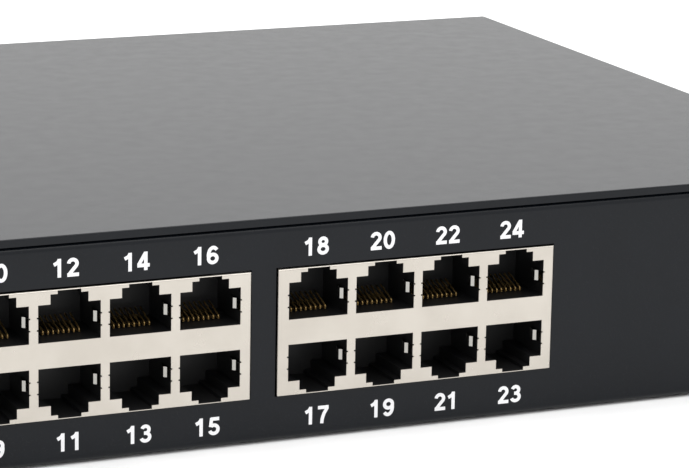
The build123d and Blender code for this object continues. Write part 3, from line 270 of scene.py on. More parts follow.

# %% [markdown]
# Plugs rub the inside of a jack and leave its face alone, and the inside lies in shade. The
# mask is zero in front of a plane across the object and rises to one over a short distance
# behind it. The shells use it for their smoother rubbed metal and for a painted shade.

# %% Depth mask
depth_mask, given, out = shader_group(
    "depth_behind_front", [("Front", 0.0), ("Fade", 1.0)], ["Depth"]
)
split = add_node(depth_mask, "ShaderNodeSeparateXYZ", {"Vector": object_place(depth_mask)})
behind = add_node(
    depth_mask,
    "ShaderNodeMath",
    {0: split.outputs["Y"], 1: given.outputs["Front"]},
    operation="SUBTRACT",
)
shallow = add_node(
    depth_mask,
    "ShaderNodeMath",
    {0: behind.outputs[0], 1: given.outputs["Fade"]},
    operation="DIVIDE",
    use_clamp=True,
)
depth_mask.links.new(shallow.outputs[0], out.inputs["Depth"])
print("effects", [group.name for group in (patches, grain, drawn_lines, speckle, depth_mask)])


# %% [markdown]
# ## A finish in one call
# Most finishes here are the same idea with other numbers: a colour that drifts between two
# close shades, a roughness that drifts between two values, and a fine relief. A helper
# builds that from the shared effects, and constants such as a metal's Metallic or a
# plastic's specular level go straight on the shader's own sockets.

# %% Finish helper
def use_group(tree, group, **inputs):
    """Puts a shared effect into a material, with its own values."""
    return add_node(tree, "ShaderNodeGroup", inputs, node_tree=group)


def blend(tree, amount, below, above):
    """A colour between two others; each may be a colour or a socket."""
    mix = add_node(tree, "ShaderNodeMix", {"Factor": amount}, data_type="RGBA")
    for socket, value in ((mix.inputs[6], below), (mix.inputs[7], above)):
        if isinstance(value, bpy.types.NodeSocket):
            tree.links.new(value, socket)
        else:
            socket.default_value = (*value, 1.0)
    return mix.outputs[2]


DULL_SHARE = 0.37  # size of the dull patches, as a share of the colour's


def finish(
    name,
    dark,
    light,
    rough,
    metallic=0.0,
    patch=25.0,
    relief=grain,
    relief_size=0.5,
    bump=0.1,
    depth=0.05,
    plain=None,
):
    """A finish between two shades and two roughness values, with a relief (sizes in mm)."""
    material = bpy.data.materials.new(name)
    material.use_nodes = True
    tree = material.node_tree
    shader = tree.nodes["Principled BSDF"]
    shader.inputs["Metallic"].default_value = metallic
    for socket, value in (plain or {}).items():
        shader.inputs[socket].default_value = value
    shade = use_group(tree, patches, Size=patch, Low=0.0, High=1.0)
    tree.links.new(blend(tree, shade.outputs["Value"], dark, light), shader.inputs["Base Color"])
    dull = use_group(tree, patches, Size=patch * DULL_SHARE, Low=rough[0], High=rough[1])
    tree.links.new(dull.outputs["Value"], shader.inputs["Roughness"])
    texture = use_group(tree, relief, Size=relief_size)
    lift = add_node(
        tree,
        "ShaderNodeBump",
        {"Height": texture.outputs["Height"], "Strength": bump, "Distance": depth * MM},
    )
    tree.links.new(lift.outputs["Normal"], shader.inputs["Normal"])
    return material


# %% [markdown]
# ## Floor
# The floor is a sheet of matt white board. It isn't part of the object.

# %% Floor finish
floor.data.materials.append(
    finish(
        "white_board", (0.90, 0.90, 0.90), (0.93, 0.93, 0.93), (0.7, 0.8),
        plain={"Specular IOR Level": 0.2},
    )
)

# %% [markdown]
# ## Painted steel
# The tray, the cover and the ears have a fine black powder coat. It is nearly black head
# on and turns grey at a shallow angle. Most of its look is a tiny orange peel in the
# normal, so the bump is fine and weak. A few grains of the powder are paler than the rest,
# which the speckle adds to the colour.

# %% Painted steel
coat = finish(
    "powder_coat",
    (0.0022, 0.0032, 0.0050),
    (0.0030, 0.0042, 0.0064),
    (0.22, 0.25),
    patch=11.0,
    relief_size=0.55,
    bump=0.16,
    depth=0.04,
    plain={"Specular IOR Level": 0.22},
)
tree = coat.node_tree
shader = tree.nodes["Principled BSDF"]
grains = use_group(tree, speckle, Size=0.42, Amount=0.16)
plain_coat = shader.inputs["Base Color"].links[0].from_socket
specked = blend(tree, grains.outputs["Mask"], plain_coat, (0.009, 0.010, 0.012))
tree.links.new(specked, shader.inputs["Base Color"])

# %% [markdown]
# ## Jack shells
# Each block of eight jacks is wrapped in thin plated brass. Its face is satin and a little
# warm. The spring tabs behind it are rubbed smooth by plugs, so past the face the metal gets
# shinier and mirrors the black cavity instead of glowing. It is also painted darker there:
# that is painted shade for the inside of the jack, not a change in the metal.

# %% Jack shells
# Where the painted shade and the smoother rubbed metal begin, and how fast they come in.
SHADE_AND_RUB_FROM = 0.35 * MM  # behind the shell's foremost point
SHADE_AND_RUB_FADE = 0.4 * MM
shield_low, shield_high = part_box("jack_shield_3")
shell = finish(
    "plated_shell",
    (0.485, 0.45, 0.40),
    (0.535, 0.50, 0.448),
    (0.27, 0.34),
    metallic=1.0,
    patch=9.0,
    relief=drawn_lines,
    relief_size=0.12,
    bump=0.10,
    depth=0.03,
)
tree = shell.node_tree
shader = tree.nodes["Principled BSDF"]
inside = use_group(tree, depth_mask, Front=shield_low.y + SHADE_AND_RUB_FROM, Fade=SHADE_AND_RUB_FADE)
face_shade = shader.inputs["Base Color"].links[0].from_socket
# Behind the face the colour is darkened: painted shade for the jack's inside.
painted_shade_inside = blend(tree, inside.outputs["Depth"], face_shade, (0.38, 0.37, 0.345))
tree.links.new(painted_shade_inside, shader.inputs["Base Color"])
face_dull = shader.inputs["Roughness"].links[0].from_socket
polish = add_node(
    tree,
    "ShaderNodeMapRange",
    {"Value": inside.outputs["Depth"], "To Min": 1.0, "To Max": 0.3},
)
rubbed = add_node(
    tree, "ShaderNodeMath", {0: face_dull, 1: polish.outputs["Result"]}, operation="MULTIPLY"
)
tree.links.new(rubbed.outputs[0], shader.inputs["Roughness"])

# %% [markdown]
# ## Mouldings
# The insulators, the fan, the inlet and the rocker's housing are black plastics. They
# differ in gloss more than in colour: glass-filled insulators are dull, the fan is
# satin, and the rocker's cap is nearly polished.

# %% Mouldings
FINISHES = {
    "black_coat": coat,
    "jack_shell": shell,
    "black_moulding": finish(
        "black_moulding", (0.0045, 0.0045, 0.005), (0.008, 0.008, 0.0085), (0.40, 0.52), bump=0.2,
        plain={"Specular IOR Level": 0.4},
    ),
    "rocker_plastic": finish(
        "rocker_plastic", (0.010, 0.010, 0.011), (0.014, 0.014, 0.015), (0.22, 0.30), bump=0.05
    ),
    "device_black": finish(
        "device_black", (0.018, 0.018, 0.02), (0.028, 0.028, 0.03), (0.5, 0.62)
    ),
    "header_plastic": finish(
        "header_plastic", (0.66, 0.64, 0.57), (0.74, 0.72, 0.66), (0.4, 0.5)
    ),
    "foot_rubber": finish(
        "foot_rubber", (0.014, 0.014, 0.014), (0.022, 0.022, 0.022), (0.75, 0.85), bump=0.3
    ),
    "clear_moulding": finish(
        "clear_moulding", (0.80, 0.83, 0.82), (0.88, 0.90, 0.89), (0.10, 0.18), bump=0.02,
        plain={"Transmission Weight": 0.55, "IOR": 1.49},
    ),
}

# %% [markdown]
# ## Metals
# Bare metals get their colour from the reflection itself, so Metallic is one and the
# shade goes on Base Color. Zinc plating is patchy, drawn wire and extruded aluminium
# carry lines along their length, and gold flash on the contacts is smooth.

# %% Metals
METALS = {
    # The contacts' gold is far darker than real gold: painted shade for the depths of the jacks.
    "contact_gold": ((0.36, 0.24, 0.09), (0.44, 0.30, 0.12), (0.42, 0.52), grain, 25.0),
    "tinned_brass": ((0.70, 0.64, 0.50), (0.78, 0.73, 0.62), (0.22, 0.35), grain, 25.0),
    "zinc_steel": ((0.50, 0.50, 0.52), (0.62, 0.62, 0.63), (0.25, 0.40), grain, 3.0),
    "bright_wire": ((0.62, 0.62, 0.64), (0.72, 0.72, 0.73), (0.14, 0.24), drawn_lines, 10.0),
    "heatsink_metal": ((0.56, 0.56, 0.58), (0.64, 0.64, 0.66), (0.34, 0.46), drawn_lines, 25.0),
    "copper_winding": ((0.50, 0.20, 0.08), (0.62, 0.28, 0.12), (0.28, 0.40), drawn_lines, 25.0),
}
for slot, (dark, light, rough, relief, patch) in METALS.items():
    FINISHES[slot] = finish(slot, dark, light, rough, metallic=1.0, relief=relief, patch=patch)

# %% [markdown]
# ## Boards, leads and small parts
# These show only through the vent slots and the fan, but they are finished like the rest:
# a green solder mask, a tan paper board for the supply, sleeves, tapes and jackets.

# %% Boards, leads and small parts
PLAIN_FINISHES = {
    "green_board": ((0.012, 0.065, 0.030), (0.018, 0.090, 0.042), (0.30, 0.42)),
    "tan_board": ((0.42, 0.30, 0.15), (0.50, 0.37, 0.20), (0.50, 0.62)),
    "ferrite": ((0.05, 0.05, 0.055), (0.09, 0.09, 0.095), (0.60, 0.75)),
    "winding_tape": ((0.62, 0.46, 0.06), (0.74, 0.56, 0.10), (0.22, 0.32)),
    "capacitor_sleeve": ((0.02, 0.028, 0.07), (0.03, 0.04, 0.09), (0.25, 0.35)),
    "ribbon_jacket": ((0.36, 0.36, 0.38), (0.44, 0.44, 0.46), (0.45, 0.55)),
    "mains_jacket": ((0.12, 0.05, 0.025), (0.17, 0.075, 0.035), (0.40, 0.50)),
    "earth_jacket": ((0.16, 0.32, 0.03), (0.30, 0.40, 0.04), (0.40, 0.50)),
    "red_jacket": ((0.36, 0.02, 0.015), (0.45, 0.03, 0.02), (0.40, 0.50)),
    "black_jacket": ((0.012, 0.012, 0.012), (0.02, 0.02, 0.02), (0.40, 0.50)),
}
for slot, (dark, light, rough) in PLAIN_FINISHES.items():
    FINISHES[slot] = finish(slot, dark, light, rough)
FINISHES["fuse_glass"] = finish(
    "fuse_glass", (0.82, 0.85, 0.84), (0.88, 0.90, 0.90), (0.04, 0.08), bump=0.01,
    plain={"Transmission Weight": 0.85, "IOR": 1.5},
)
for part in frame["record"]["subparts"]:
    mesh = nodes[part["node"]].data
    mesh.materials.clear()
    mesh.materials.append(FINISHES[part["material_slot"]])


# %% [markdown]
# ## Repeating with Geometry Nodes
# Screws, wires and lenses are each one small shape used many times. A tree takes the
# places as points, and a named attribute on them says which way each piece faces. Sizes
# are named inputs, set by socket identifier before the object is first evaluated. The
# tree ends in Realize Instances and Set Material, and the evaluated result is copied to a
# plain mesh, so nothing live is left on the finished piece.

# %% Helpers for Geometry Nodes
SOCKETS = {float: "NodeSocketFloat", int: "NodeSocketInt", bpy.types.Object: "NodeSocketObject"}


def geometry_tree(name, inputs):
    """A tree with a geometry socket each way and named inputs (name, type, default)."""
    tree = bpy.data.node_groups.new(name, "GeometryNodeTree")
    tree.interface.new_socket("Geometry", in_out="INPUT", socket_type="NodeSocketGeometry")
    for label, kind, default in inputs:
        socket = tree.interface.new_socket(label, in_out="INPUT", socket_type=SOCKETS[kind])
        if default is not None:
            socket.default_value = default
    tree.interface.new_socket("Geometry", in_out="OUTPUT", socket_type="NodeSocketGeometry")
    return tree, tree.nodes.new("NodeGroupInput"), tree.nodes.new("NodeGroupOutput")


def point_attribute(tree, name, kind):
    """The value of a named attribute on the points a tree is given."""
    node = add_node(tree, "GeometryNodeInputNamedAttribute", {"Name": name}, data_type=kind)
    return node.outputs["Attribute"]


def end_tree(tree, out, geometry, material):
    """Realize Instances and Set Material, then the output."""
    real = add_node(tree, "GeometryNodeRealizeInstances", {"Geometry": geometry})
    painted = add_node(
        tree, "GeometryNodeSetMaterial", {"Geometry": real.outputs[0], "Material": material}
    )
    tree.links.new(painted.outputs[0], out.inputs[0])


def grow(name, points, tree, values, facings=(), loop_radii=(), edges=()):
    """Runs a tree on points and edges and returns the result as a plain mesh object."""
    seed = mesh_object(name, points, [], edges=edges)
    if facings:
        facing = seed.data.attributes.new("facing", "FLOAT_VECTOR", "POINT")
        facing.data.foreach_set("vector", [c for vector in facings for c in vector])
    if loop_radii:
        loop_radius = seed.data.attributes.new("loop_radius", "FLOAT", "POINT")
        loop_radius.data.foreach_set("value", loop_radii)
    live = seed.modifiers.new("make", "NODES")
    live.node_group = tree
    for item in tree.interface.items_tree:
        if item.in_out == "INPUT" and item.name in values:
            live[item.identifier] = values[item.name]
    seed.update_tag()
    view = bpy.context.evaluated_depsgraph_get()
    result = bpy.data.meshes.new_from_object(seed.evaluated_get(view))
    seed.modifiers.clear()
    seed.data = result
    result.name = name
    material = result.materials[-1]
    result.materials.clear()
    result.materials.append(material)
    result.polygons.foreach_set("material_index", [0] * len(result.polygons))
    for attribute in [a for a in result.attributes if a.name in ("facing", "loop_radius")]:
        result.attributes.remove(attribute)
    print(name, len(points), "places,", len(result.polygons), "faces")
    return seed


# %% [markdown]
# ## Contact wires
# In each jack eight gold wires run along the cavity's wall, turn back on themselves and
# spring up towards the plug. Round wire is a curve with a round profile, so the tree fillets
# the wire's path, sweeps a circle along it and repeats that eight times at each port. The
# upper jacks are upside down against the lower ones, which the facing attribute carries.

# %% Contact wires
PORT_PITCH = 13.97 * MM
PORTS_PER_ROW = 4
WIRE_PITCH = 1.02 * MM
WIRE_COUNT = 8
CONTACT_RADIUS = 0.2 * MM
CONTACT_BEND = 0.4 * MM

tree, given, out = geometry_tree(
    "sprung_contacts",
    [
        ("Path", bpy.types.Object, None),
        ("Wire Radius", float, CONTACT_RADIUS),
        ("Bend Radius", float, CONTACT_BEND),
        ("Wire Pitch", float, WIRE_PITCH),
        ("Wire Count", int, WIRE_COUNT),
    ],
)
path = add_node(tree, "GeometryNodeObjectInfo", {"Object": given.outputs["Path"]})
bent = add_node(
    tree,
    "GeometryNodeFilletCurve",
    {"Curve": path.outputs["Geometry"], "Radius": given.outputs["Bend Radius"], "Count": 3},
    mode="POLY",
)
round_profile = add_node(
    tree,
    "GeometryNodeCurvePrimitiveCircle",
    {"Resolution": 6, "Radius": given.outputs["Wire Radius"]},
)
wire = add_node(
    tree,
    "GeometryNodeCurveToMesh",
    {"Curve": bent.outputs[0], "Profile Curve": round_profile.outputs[0], "Fill Caps": True},
)
step = add_node(tree, "ShaderNodeCombineXYZ", {"X": given.outputs["Wire Pitch"]})
row = add_node(
    tree,
    "GeometryNodeMeshLine",
    {"Count": given.outputs["Wire Count"], "Offset": step.outputs[0]},
)
comb = add_node(
    tree,
    "GeometryNodeInstanceOnPoints",
    {"Points": row.outputs[0], "Instance": wire.outputs[0]},
)
placed = add_node(
    tree,
    "GeometryNodeInstanceOnPoints",
    {
        "Points": given.outputs["Geometry"],
        "Instance": comb.outputs[0],
        "Rotation": point_attribute(tree, "facing", "FLOAT_VECTOR"),
    },
)
end_tree(tree, out, placed.outputs[0], FINISHES["contact_gold"])
contact_tree = tree


def path_object(name, points):
    """A straight-sided open curve, for a tree to bend and sweep."""
    data = bpy.data.curves.new(name, "CURVE")
    data.dimensions = "3D"
    spline = data.splines.new("POLY")
    spline.points.add(len(points) - 1)
    for point, place in zip(spline.points, points):
        point.co = (*place, 1.0)
    return link_object(name, data)


# %% [markdown]
# The wires' height and run come from the solid contacts' box, which holds all eight jacks
# of a block, so the lying part, the bend and the tip land where the solid ones were.

# %% Place the contact wires
BLOCKS = (1, 2, 3)
CAVITY_WALL = 2.47 * MM  # from a block's middle to the nearer wall of its cavities
WALL_EASE = 0.06 * MM
HEEL_START = 0.55 * MM  # where the turn starts, behind the wire's front end
HEEL_RISE = 0.42 * MM
TIP_SHARE = 0.68  # how far back the tip springs, as a share of the run

comb_half = (WIRE_COUNT - 1) / 2 * WIRE_PITCH
wall = CAVITY_WALL + WALL_EASE + CONTACT_RADIUS  # from the block's middle to the lying wire
for block in BLOCKS:
    low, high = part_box(f"jack_contacts_{block}")
    shield_low, shield_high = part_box(f"jack_shield_{block}")
    middle = (shield_low + shield_high) / 2
    row_middle = (low.z + high.z) / 2
    tip = high.z - row_middle - CONTACT_RADIUS
    run = high.y - low.y
    wire_path = path_object(
        "contact_path",
        [
            (0.0, high.y - CONTACT_RADIUS, wall),
            (0.0, low.y + HEEL_START, wall),
            (0.0, low.y + CONTACT_RADIUS, wall + HEEL_RISE),
            (0.0, low.y + run * TIP_SHARE, tip),
        ],
    )
    places, facings = [], []
    for column in range(PORTS_PER_ROW):
        port_x = middle.x + (column - (PORTS_PER_ROW - 1) / 2) * PORT_PITCH
        for upright in (True, False):
            first_x = port_x - comb_half if upright else port_x + comb_half
            places.append((first_x, 0.0, row_middle))
            facings.append((0.0, 0.0, 0.0) if upright else (0.0, pi, 0.0))
    wires = grow(
        f"contact_wires_{block}",
        places,
        contact_tree,
        {"Path": wire_path, "Wire Radius": CONTACT_RADIUS},
        facings,
    )
    bpy.data.objects.remove(wire_path)
    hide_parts(f"jack_contacts_{block}")
    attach(wires, "case")

# %% [markdown]
# ## Screws
# The screws on the outside are pan heads with a cross recess. A mesh head can have what the
# solid leaves out: a true dome, and a recess whose four wings taper to a point, as the
# driver's tip does. One head is built as rings of points with the recess pressed into it,
# and the tree sets it on each seat, turned to face out and rolled by its own random angle,
# because no row of screws ever stops with all its slots in line.

# %% One screw
RINGS = (
    (0.0, 1.0), (0.10, 0.997), (0.22, 0.985), (0.34, 0.965), (0.46, 0.935), (0.58, 0.89),
    (0.70, 0.825), (0.81, 0.735), (0.90, 0.61), (0.96, 0.44), (0.99, 0.24), (1.0, 0.0),
)
SPOKES = 48
# The recess, as shares of the head's radius and, for its depth, of the head's height.
WING_REACH = 0.56
WING_HALF = 0.105
WALL_TAPER = 0.05
END_TAPER = 0.16
RECESS_DEPTH = 0.62
RECESS_ZONE = 0.6  # rings inside this radius are three times as close
RECESS_ABOVE = 0.5  # rings lower than this aren't pressed in
TIP_TAPER = 0.72  # radius of the shank's end, as a share of the shank's


def recess_depth(x, y):
    """How deep the tapered cross is pressed in at a place on a head of radius one."""
    depth = 0.0
    for along, across in ((abs(x), abs(y)), (abs(y), abs(x))):
        wall_slope = (WING_HALF - across) / WALL_TAPER
        end_slope = (WING_REACH - along) / END_TAPER
        depth = max(depth, min(1.0, wall_slope, end_slope))
    return max(0.0, depth) * RECESS_DEPTH


def screw_shape(name, shank_radius, shank_length, chamfer):
    """A screw with its seat at the origin and its head up, head radius and height of one."""
    fine_rings = []
    for (r0, h0), (r1, h1) in zip(RINGS, RINGS[1:]):
        parts = 3 if r1 < RECESS_ZONE else 1
        for i in range(parts):
            fine_rings.append((r0 + (r1 - r0) * i / parts, h0 + (h1 - h0) * i / parts))
    fine_rings = fine_rings[1:] + [RINGS[-1]]
    tail = [
        (shank_radius, 0.0),
        (shank_radius, -shank_length + chamfer),
        (shank_radius * TIP_TAPER, -shank_length),
    ]
    work = bmesh.new()
    rows = []
    for r, h in fine_rings + tail:
        ring = []
        for spoke in range(SPOKES):
            x, y = r * cos(2 * pi * spoke / SPOKES), r * sin(2 * pi * spoke / SPOKES)
            dip = recess_depth(x, y) if h > RECESS_ABOVE else 0.0
            ring.append(work.verts.new((x, y, h - dip)))
        rows.append(ring)
    top = work.verts.new((0.0, 0.0, 1.0 - RECESS_DEPTH))
    bottom = work.verts.new((0.0, 0.0, -shank_length))
    for spoke in range(SPOKES):
        after = (spoke + 1) % SPOKES
        work.faces.new((top, rows[0][spoke], rows[0][after]))
        work.faces.new((bottom, rows[-1][after], rows[-1][spoke]))
        for inner, outer in zip(rows, rows[1:]):
            work.faces.new((inner[spoke], outer[spoke], outer[after], inner[after]))
    screw = bmesh_object(name, work)
    for face in screw.data.polygons:
        face.use_smooth = True
    return screw


# %% [markdown]
# The facing attribute turns each head outwards, a random roll about its own axis comes on
# top, and the head's radius and height scale the unit shape. The seed is fixed, so a group
# of screws always has the same angles, but which screw gets which can change from one run
# to the next, because the seats are found in no fixed order.

# %% The screw tree
M3 = (1.5 * MM, 2.75 * MM, 1.8 * MM)  # shank radius, head radius, head height
M4 = (2.0 * MM, 3.6 * MM, 2.4 * MM)
FIRST_SEED = 7

tree, given, out = geometry_tree(
    "formed_screws",
    [
        ("Screw", bpy.types.Object, None),
        ("Head Radius", float, M3[1]),
        ("Head Height", float, M3[2]),
        ("Roll Seed", int, FIRST_SEED),
    ],
)
shape = add_node(tree, "GeometryNodeObjectInfo", {"Object": given.outputs["Screw"]})
upright = add_node(
    tree,
    "FunctionNodeAlignRotationToVector",
    {"Vector": point_attribute(tree, "facing", "FLOAT_VECTOR")},
    axis="Z",
)
roll = add_node(
    tree,
    "FunctionNodeRandomValue",
    {"Min": (0.0, 0.0, 0.0), "Max": (0.0, 0.0, 2 * pi), "Seed": given.outputs["Roll Seed"]},
    data_type="FLOAT_VECTOR",
)
turned = add_node(
    tree,
    "FunctionNodeRotateRotation",
    {"Rotation": upright.outputs[0], "Rotate By": roll.outputs[0]},
    rotation_space="LOCAL",
)
size = add_node(
    tree,
    "ShaderNodeCombineXYZ",
    {
        "X": given.outputs["Head Radius"],
        "Y": given.outputs["Head Radius"],
        "Z": given.outputs["Head Height"],
    },
)
seated = add_node(
    tree,
    "GeometryNodeInstanceOnPoints",
    {
        "Points": given.outputs["Geometry"],
        "Instance": shape.outputs["Geometry"],
        "Rotation": turned.outputs[0],
        "Scale": size.outputs[0],
    },
)
end_tree(tree, out, seated.outputs[0], FINISHES["zinc_steel"])
screw_tree = tree


# %% [markdown]
# ## Set the screws
# The seats are read from the solid screws that these stand for. Each group of loose solids
# is split into its separate screws, and a screw's seat is the point on its axis one head's
# height below its top. So the formed screws land exactly where the solids are.

# %% Find the seats
SAME_PLACE = 1e-7  # metres; the solid's corners closer than this are one


def separate_boxes(node):
    """The box of each separate solid in a node."""
    mesh = nodes[node].data
    work = bmesh.new()
    work.from_mesh(mesh)
    bmesh.ops.remove_doubles(work, verts=work.verts[:], dist=SAME_PLACE)
    left = set(work.verts)
    boxes = []
    while left:
        queue, island = [left.pop()], []
        while queue:
            vert = queue.pop()
            island.append(vert.co.copy())
            for edge in vert.link_edges:
                other = edge.other_vert(vert)
                if other in left:
                    left.remove(other)
                    queue.append(other)
        low = Vector([min(co[i] for co in island) for i in range(3)])
        high = Vector([max(co[i] for co in island) for i in range(3)])
        boxes.append((low, high))
    work.free()
    return boxes


# %% [markdown]
# Two thread sizes are used, as on most such cases: the smaller for the cover, the fan and
# the inlet, the larger for the ears and the earth lead. Screws in the two sides face away
# from the middle of the case.

# %% Place the screws
SCREW_CHAMFER = 0.5 * MM
REAR = (0.0, 1.0, 0.0)
SCREWS = {
    "fan_screws": (M3, REAR),
    "inlet_screws": (M3, REAR),
    "ground_screw": (M4, REAR),
    "cover_screws": (M3, None),
    "rack_ear_screws": (M4, None),
}
for count, (node, ((shank, head, height), facing)) in enumerate(SCREWS.items()):
    boxes = separate_boxes(node)
    places, facings = [], []
    for low, high in boxes:
        out_way = facing or ((1.0 if low.x > 0 else -1.0), 0.0, 0.0)
        top = (low + high) / 2
        for axis in range(3):
            if out_way[axis]:
                top[axis] = high[axis] if out_way[axis] > 0 else low[axis]
        places.append(top - Vector(out_way) * height)
        facings.append(out_way)
    spans = boxes[0][1] - boxes[0][0]
    length = max(spans) - height
    shape = screw_shape("screw_shape", shank / head, length / height, SCREW_CHAMFER / height)
    made = grow(
        node.replace("screw", "formed_screw"),
        places,
        screw_tree,
        {
            "Screw": shape,
            "Head Radius": head,
            "Head Height": height,
            "Roll Seed": FIRST_SEED + count,
        },
        facings,
    )
    bpy.data.objects.remove(shape)
    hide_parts(node)
    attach(made, "case")

# %% [markdown]
# ## Fan guard
# The guard over the fan is welded from one gauge of round wire: two crossed bars that end in
# an eye at each screw, and three rings laid on top. The bars are the seed's edges, and the
# rings and eyes are its points, each with its own loop radius. The tree turns both into
# curves and sweeps the same round profile along them, so the wire is as thick everywhere.

# %% The guard's tree
GUARD_WIRE = 0.9 * MM  # radius

tree, given, out = geometry_tree("welded_guard", [("Wire Radius", float, GUARD_WIRE)])
loop_radius = point_attribute(tree, "loop_radius", "FLOAT")
is_loop = add_node(tree, "FunctionNodeCompare", {0: loop_radius, 1: 0.0}, operation="GREATER_THAN")
unit_loop = add_node(tree, "GeometryNodeCurvePrimitiveCircle", {"Resolution": 48, "Radius": 1.0})
loops = add_node(
    tree,
    "GeometryNodeInstanceOnPoints",
    {
        "Points": given.outputs["Geometry"],
        "Selection": is_loop.outputs[0],
        "Instance": unit_loop.outputs[0],
        "Rotation": (pi / 2, 0.0, 0.0),
        "Scale": loop_radius,
    },
)
real_loops = add_node(tree, "GeometryNodeRealizeInstances", {"Geometry": loops.outputs[0]})
bars = add_node(tree, "GeometryNodeMeshToCurve", {"Mesh": given.outputs["Geometry"]})
paths = add_node(tree, "GeometryNodeJoinGeometry")
for piece in (bars, real_loops):
    tree.links.new(piece.outputs[0], paths.inputs[0])
round_profile = add_node(
    tree,
    "GeometryNodeCurvePrimitiveCircle",
    {"Resolution": 12, "Radius": given.outputs["Wire Radius"]},
)
wires = add_node(
    tree,
    "GeometryNodeCurveToMesh",
    {"Curve": paths.outputs[0], "Profile Curve": round_profile.outputs[0], "Fill Caps": True},
)
smooth = add_node(tree, "GeometryNodeSetShadeSmooth", {"Geometry": wires.outputs[0]})
end_tree(tree, out, smooth.outputs[0], FINISHES["bright_wire"])

# %% [markdown]
# The eyes sit on the fan's screws, and each bar runs from one eye's wire to the opposite
# one, so no wire crosses a screw's hole. The rings lie a little lower than one wire on top
# of the bars, which is what spot welding does to them.

# %% Weld the guard
GUARD_RINGS = (0.425, 0.2875, 0.15)  # radii as shares of the fan's size
EYE_RADIUS = 2.6 * MM
guard_low, guard_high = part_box("fan_guard")
fan_low, fan_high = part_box("fan_frame")
fan_size = fan_high.x - fan_low.x
centre = (guard_low + guard_high) / 2
reach = (guard_high.x - guard_low.x) / 2 - EYE_RADIUS - GUARD_WIRE
bar_y, ring_y = guard_low.y + GUARD_WIRE, guard_high.y - GUARD_WIRE
bar_end = reach - EYE_RADIUS / sqrt(2)
places = [Vector((centre.x, ring_y, centre.z))] * len(GUARD_RINGS)
loop_radii = [share * fan_size for share in GUARD_RINGS]
corners = [(-1, -1), (1, 1), (-1, 1), (1, -1)]
places += [Vector((centre.x + x * reach, bar_y, centre.z + z * reach)) for x, z in corners]
loop_radii += [EYE_RADIUS] * len(corners)
first_bar = len(places)
places += [Vector((centre.x + x * bar_end, bar_y, centre.z + z * bar_end)) for x, z in corners]
loop_radii += [0.0] * len(corners)
guard = grow(
    "welded_fan_guard",
    places,
    tree,
    {"Wire Radius": GUARD_WIRE},
    loop_radii=loop_radii,
    edges=[(first_bar, first_bar + 1), (first_bar + 2, first_bar + 3)],
)
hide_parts("fan_guard")
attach(guard, "case")

# %% [markdown]
# ## Indicator lenses
# Two rows of light pipes end at the left of the front panel. A moulded pipe ends in a small
# dome, which spreads the light so it can be seen from the side. The tree sets one dome on
# each pipe's end, and the ends are found on the solid pipes' own front faces.

# %% Lens shape and tree
LENS_RINGS = ((1.0, -1.0), (1.0, 0.0), (0.92, 0.42), (0.72, 0.72), (0.40, 0.93))
LENS_SPOKES = 16
PIPE_RADIUS = 1.0 * MM
DOME_RISE = 0.3 * MM


def lens_shape(name):
    """A dome of radius and rise one, on a short stem below the origin."""
    verts = [
        (r * cos(2 * pi * i / LENS_SPOKES), r * sin(2 * pi * i / LENS_SPOKES), h)
        for r, h in LENS_RINGS
        for i in range(LENS_SPOKES)
    ]
    verts += [(0.0, 0.0, -1.0), (0.0, 0.0, 1.0)]
    bottom, top = len(verts) - 2, len(verts) - 1
    faces = []
    for i in range(LENS_SPOKES):
        after = (i + 1) % LENS_SPOKES
        faces.append((bottom, after, i))
        last = (len(LENS_RINGS) - 1) * LENS_SPOKES
        faces.append((top, last + i, last + after))
        for ring in range(len(LENS_RINGS) - 1):
            a, b = ring * LENS_SPOKES, (ring + 1) * LENS_SPOKES
            faces.append((a + i, a + after, b + after, b + i))
    return mesh_object(name, verts, faces)


tree, given, out = geometry_tree(
    "domed_lenses",
    [
        ("Lens", bpy.types.Object, None),
        ("Lens Radius", float, PIPE_RADIUS),
        ("Dome Rise", float, DOME_RISE),
    ],
)
shape = add_node(tree, "GeometryNodeObjectInfo", {"Object": given.outputs["Lens"]})
size = add_node(
    tree,
    "ShaderNodeCombineXYZ",
    {
        "X": given.outputs["Lens Radius"],
        "Y": given.outputs["Lens Radius"],
        "Z": given.outputs["Dome Rise"],
    },
)
set_down = add_node(
    tree,
    "GeometryNodeInstanceOnPoints",
    {
        "Points": given.outputs["Geometry"],
        "Instance": shape.outputs["Geometry"],
        "Rotation": (pi / 2, 0.0, 0.0),
        "Scale": size.outputs[0],
    },
)
end_tree(tree, out, set_down.outputs[0], FINISHES["clear_moulding"])

# %% [markdown]
# The front ends of the pipes are rings of points on the solid. Points closer than one pipe
# belong together, and the middle of their box is the lens's centre.

# %% Set the lenses
LENS_SHARE = 0.98  # of the pipe's radius
ON_THE_FACE = 0.01 * MM  # points this close to the foremost one are on a pipe's end
ONE_PIPE = 2.1 * PIPE_RADIUS

pipes = nodes["light_pipes"]
pipe_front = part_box("light_pipes")[0].y
rims = []
for vert in pipes.data.vertices:
    place = pipes.matrix_world @ vert.co
    if place.y - pipe_front < ON_THE_FACE:
        near = [rim for rim in rims if (rim[0] - place).length < ONE_PIPE]
        if near:
            near[0].append(place)
        else:
            rims.append([place])
ends = []
for rim in rims:
    ends.append(Vector([(min(p[i] for p in rim) + max(p[i] for p in rim)) / 2 for i in range(3)]))
shape = lens_shape("lens_shape")
lens_sizes = {"Lens": shape, "Lens Radius": PIPE_RADIUS * LENS_SHARE}
lenses = grow("indicator_lenses", ends, tree, lens_sizes)
bpy.data.objects.remove(shape)
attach(lenses, "case")

# %% [markdown]
# ## Port numbers
# The panel is printed in white with a number for each jack, odd below and even above. A
# printed numeral is a few strokes of even width. Each stroke is a straight run or a piece
# of an ellipse that is given its width here, and a constrained triangulation merges the
# strokes into one flat shape. That is sturdier than a boolean and needs no font.

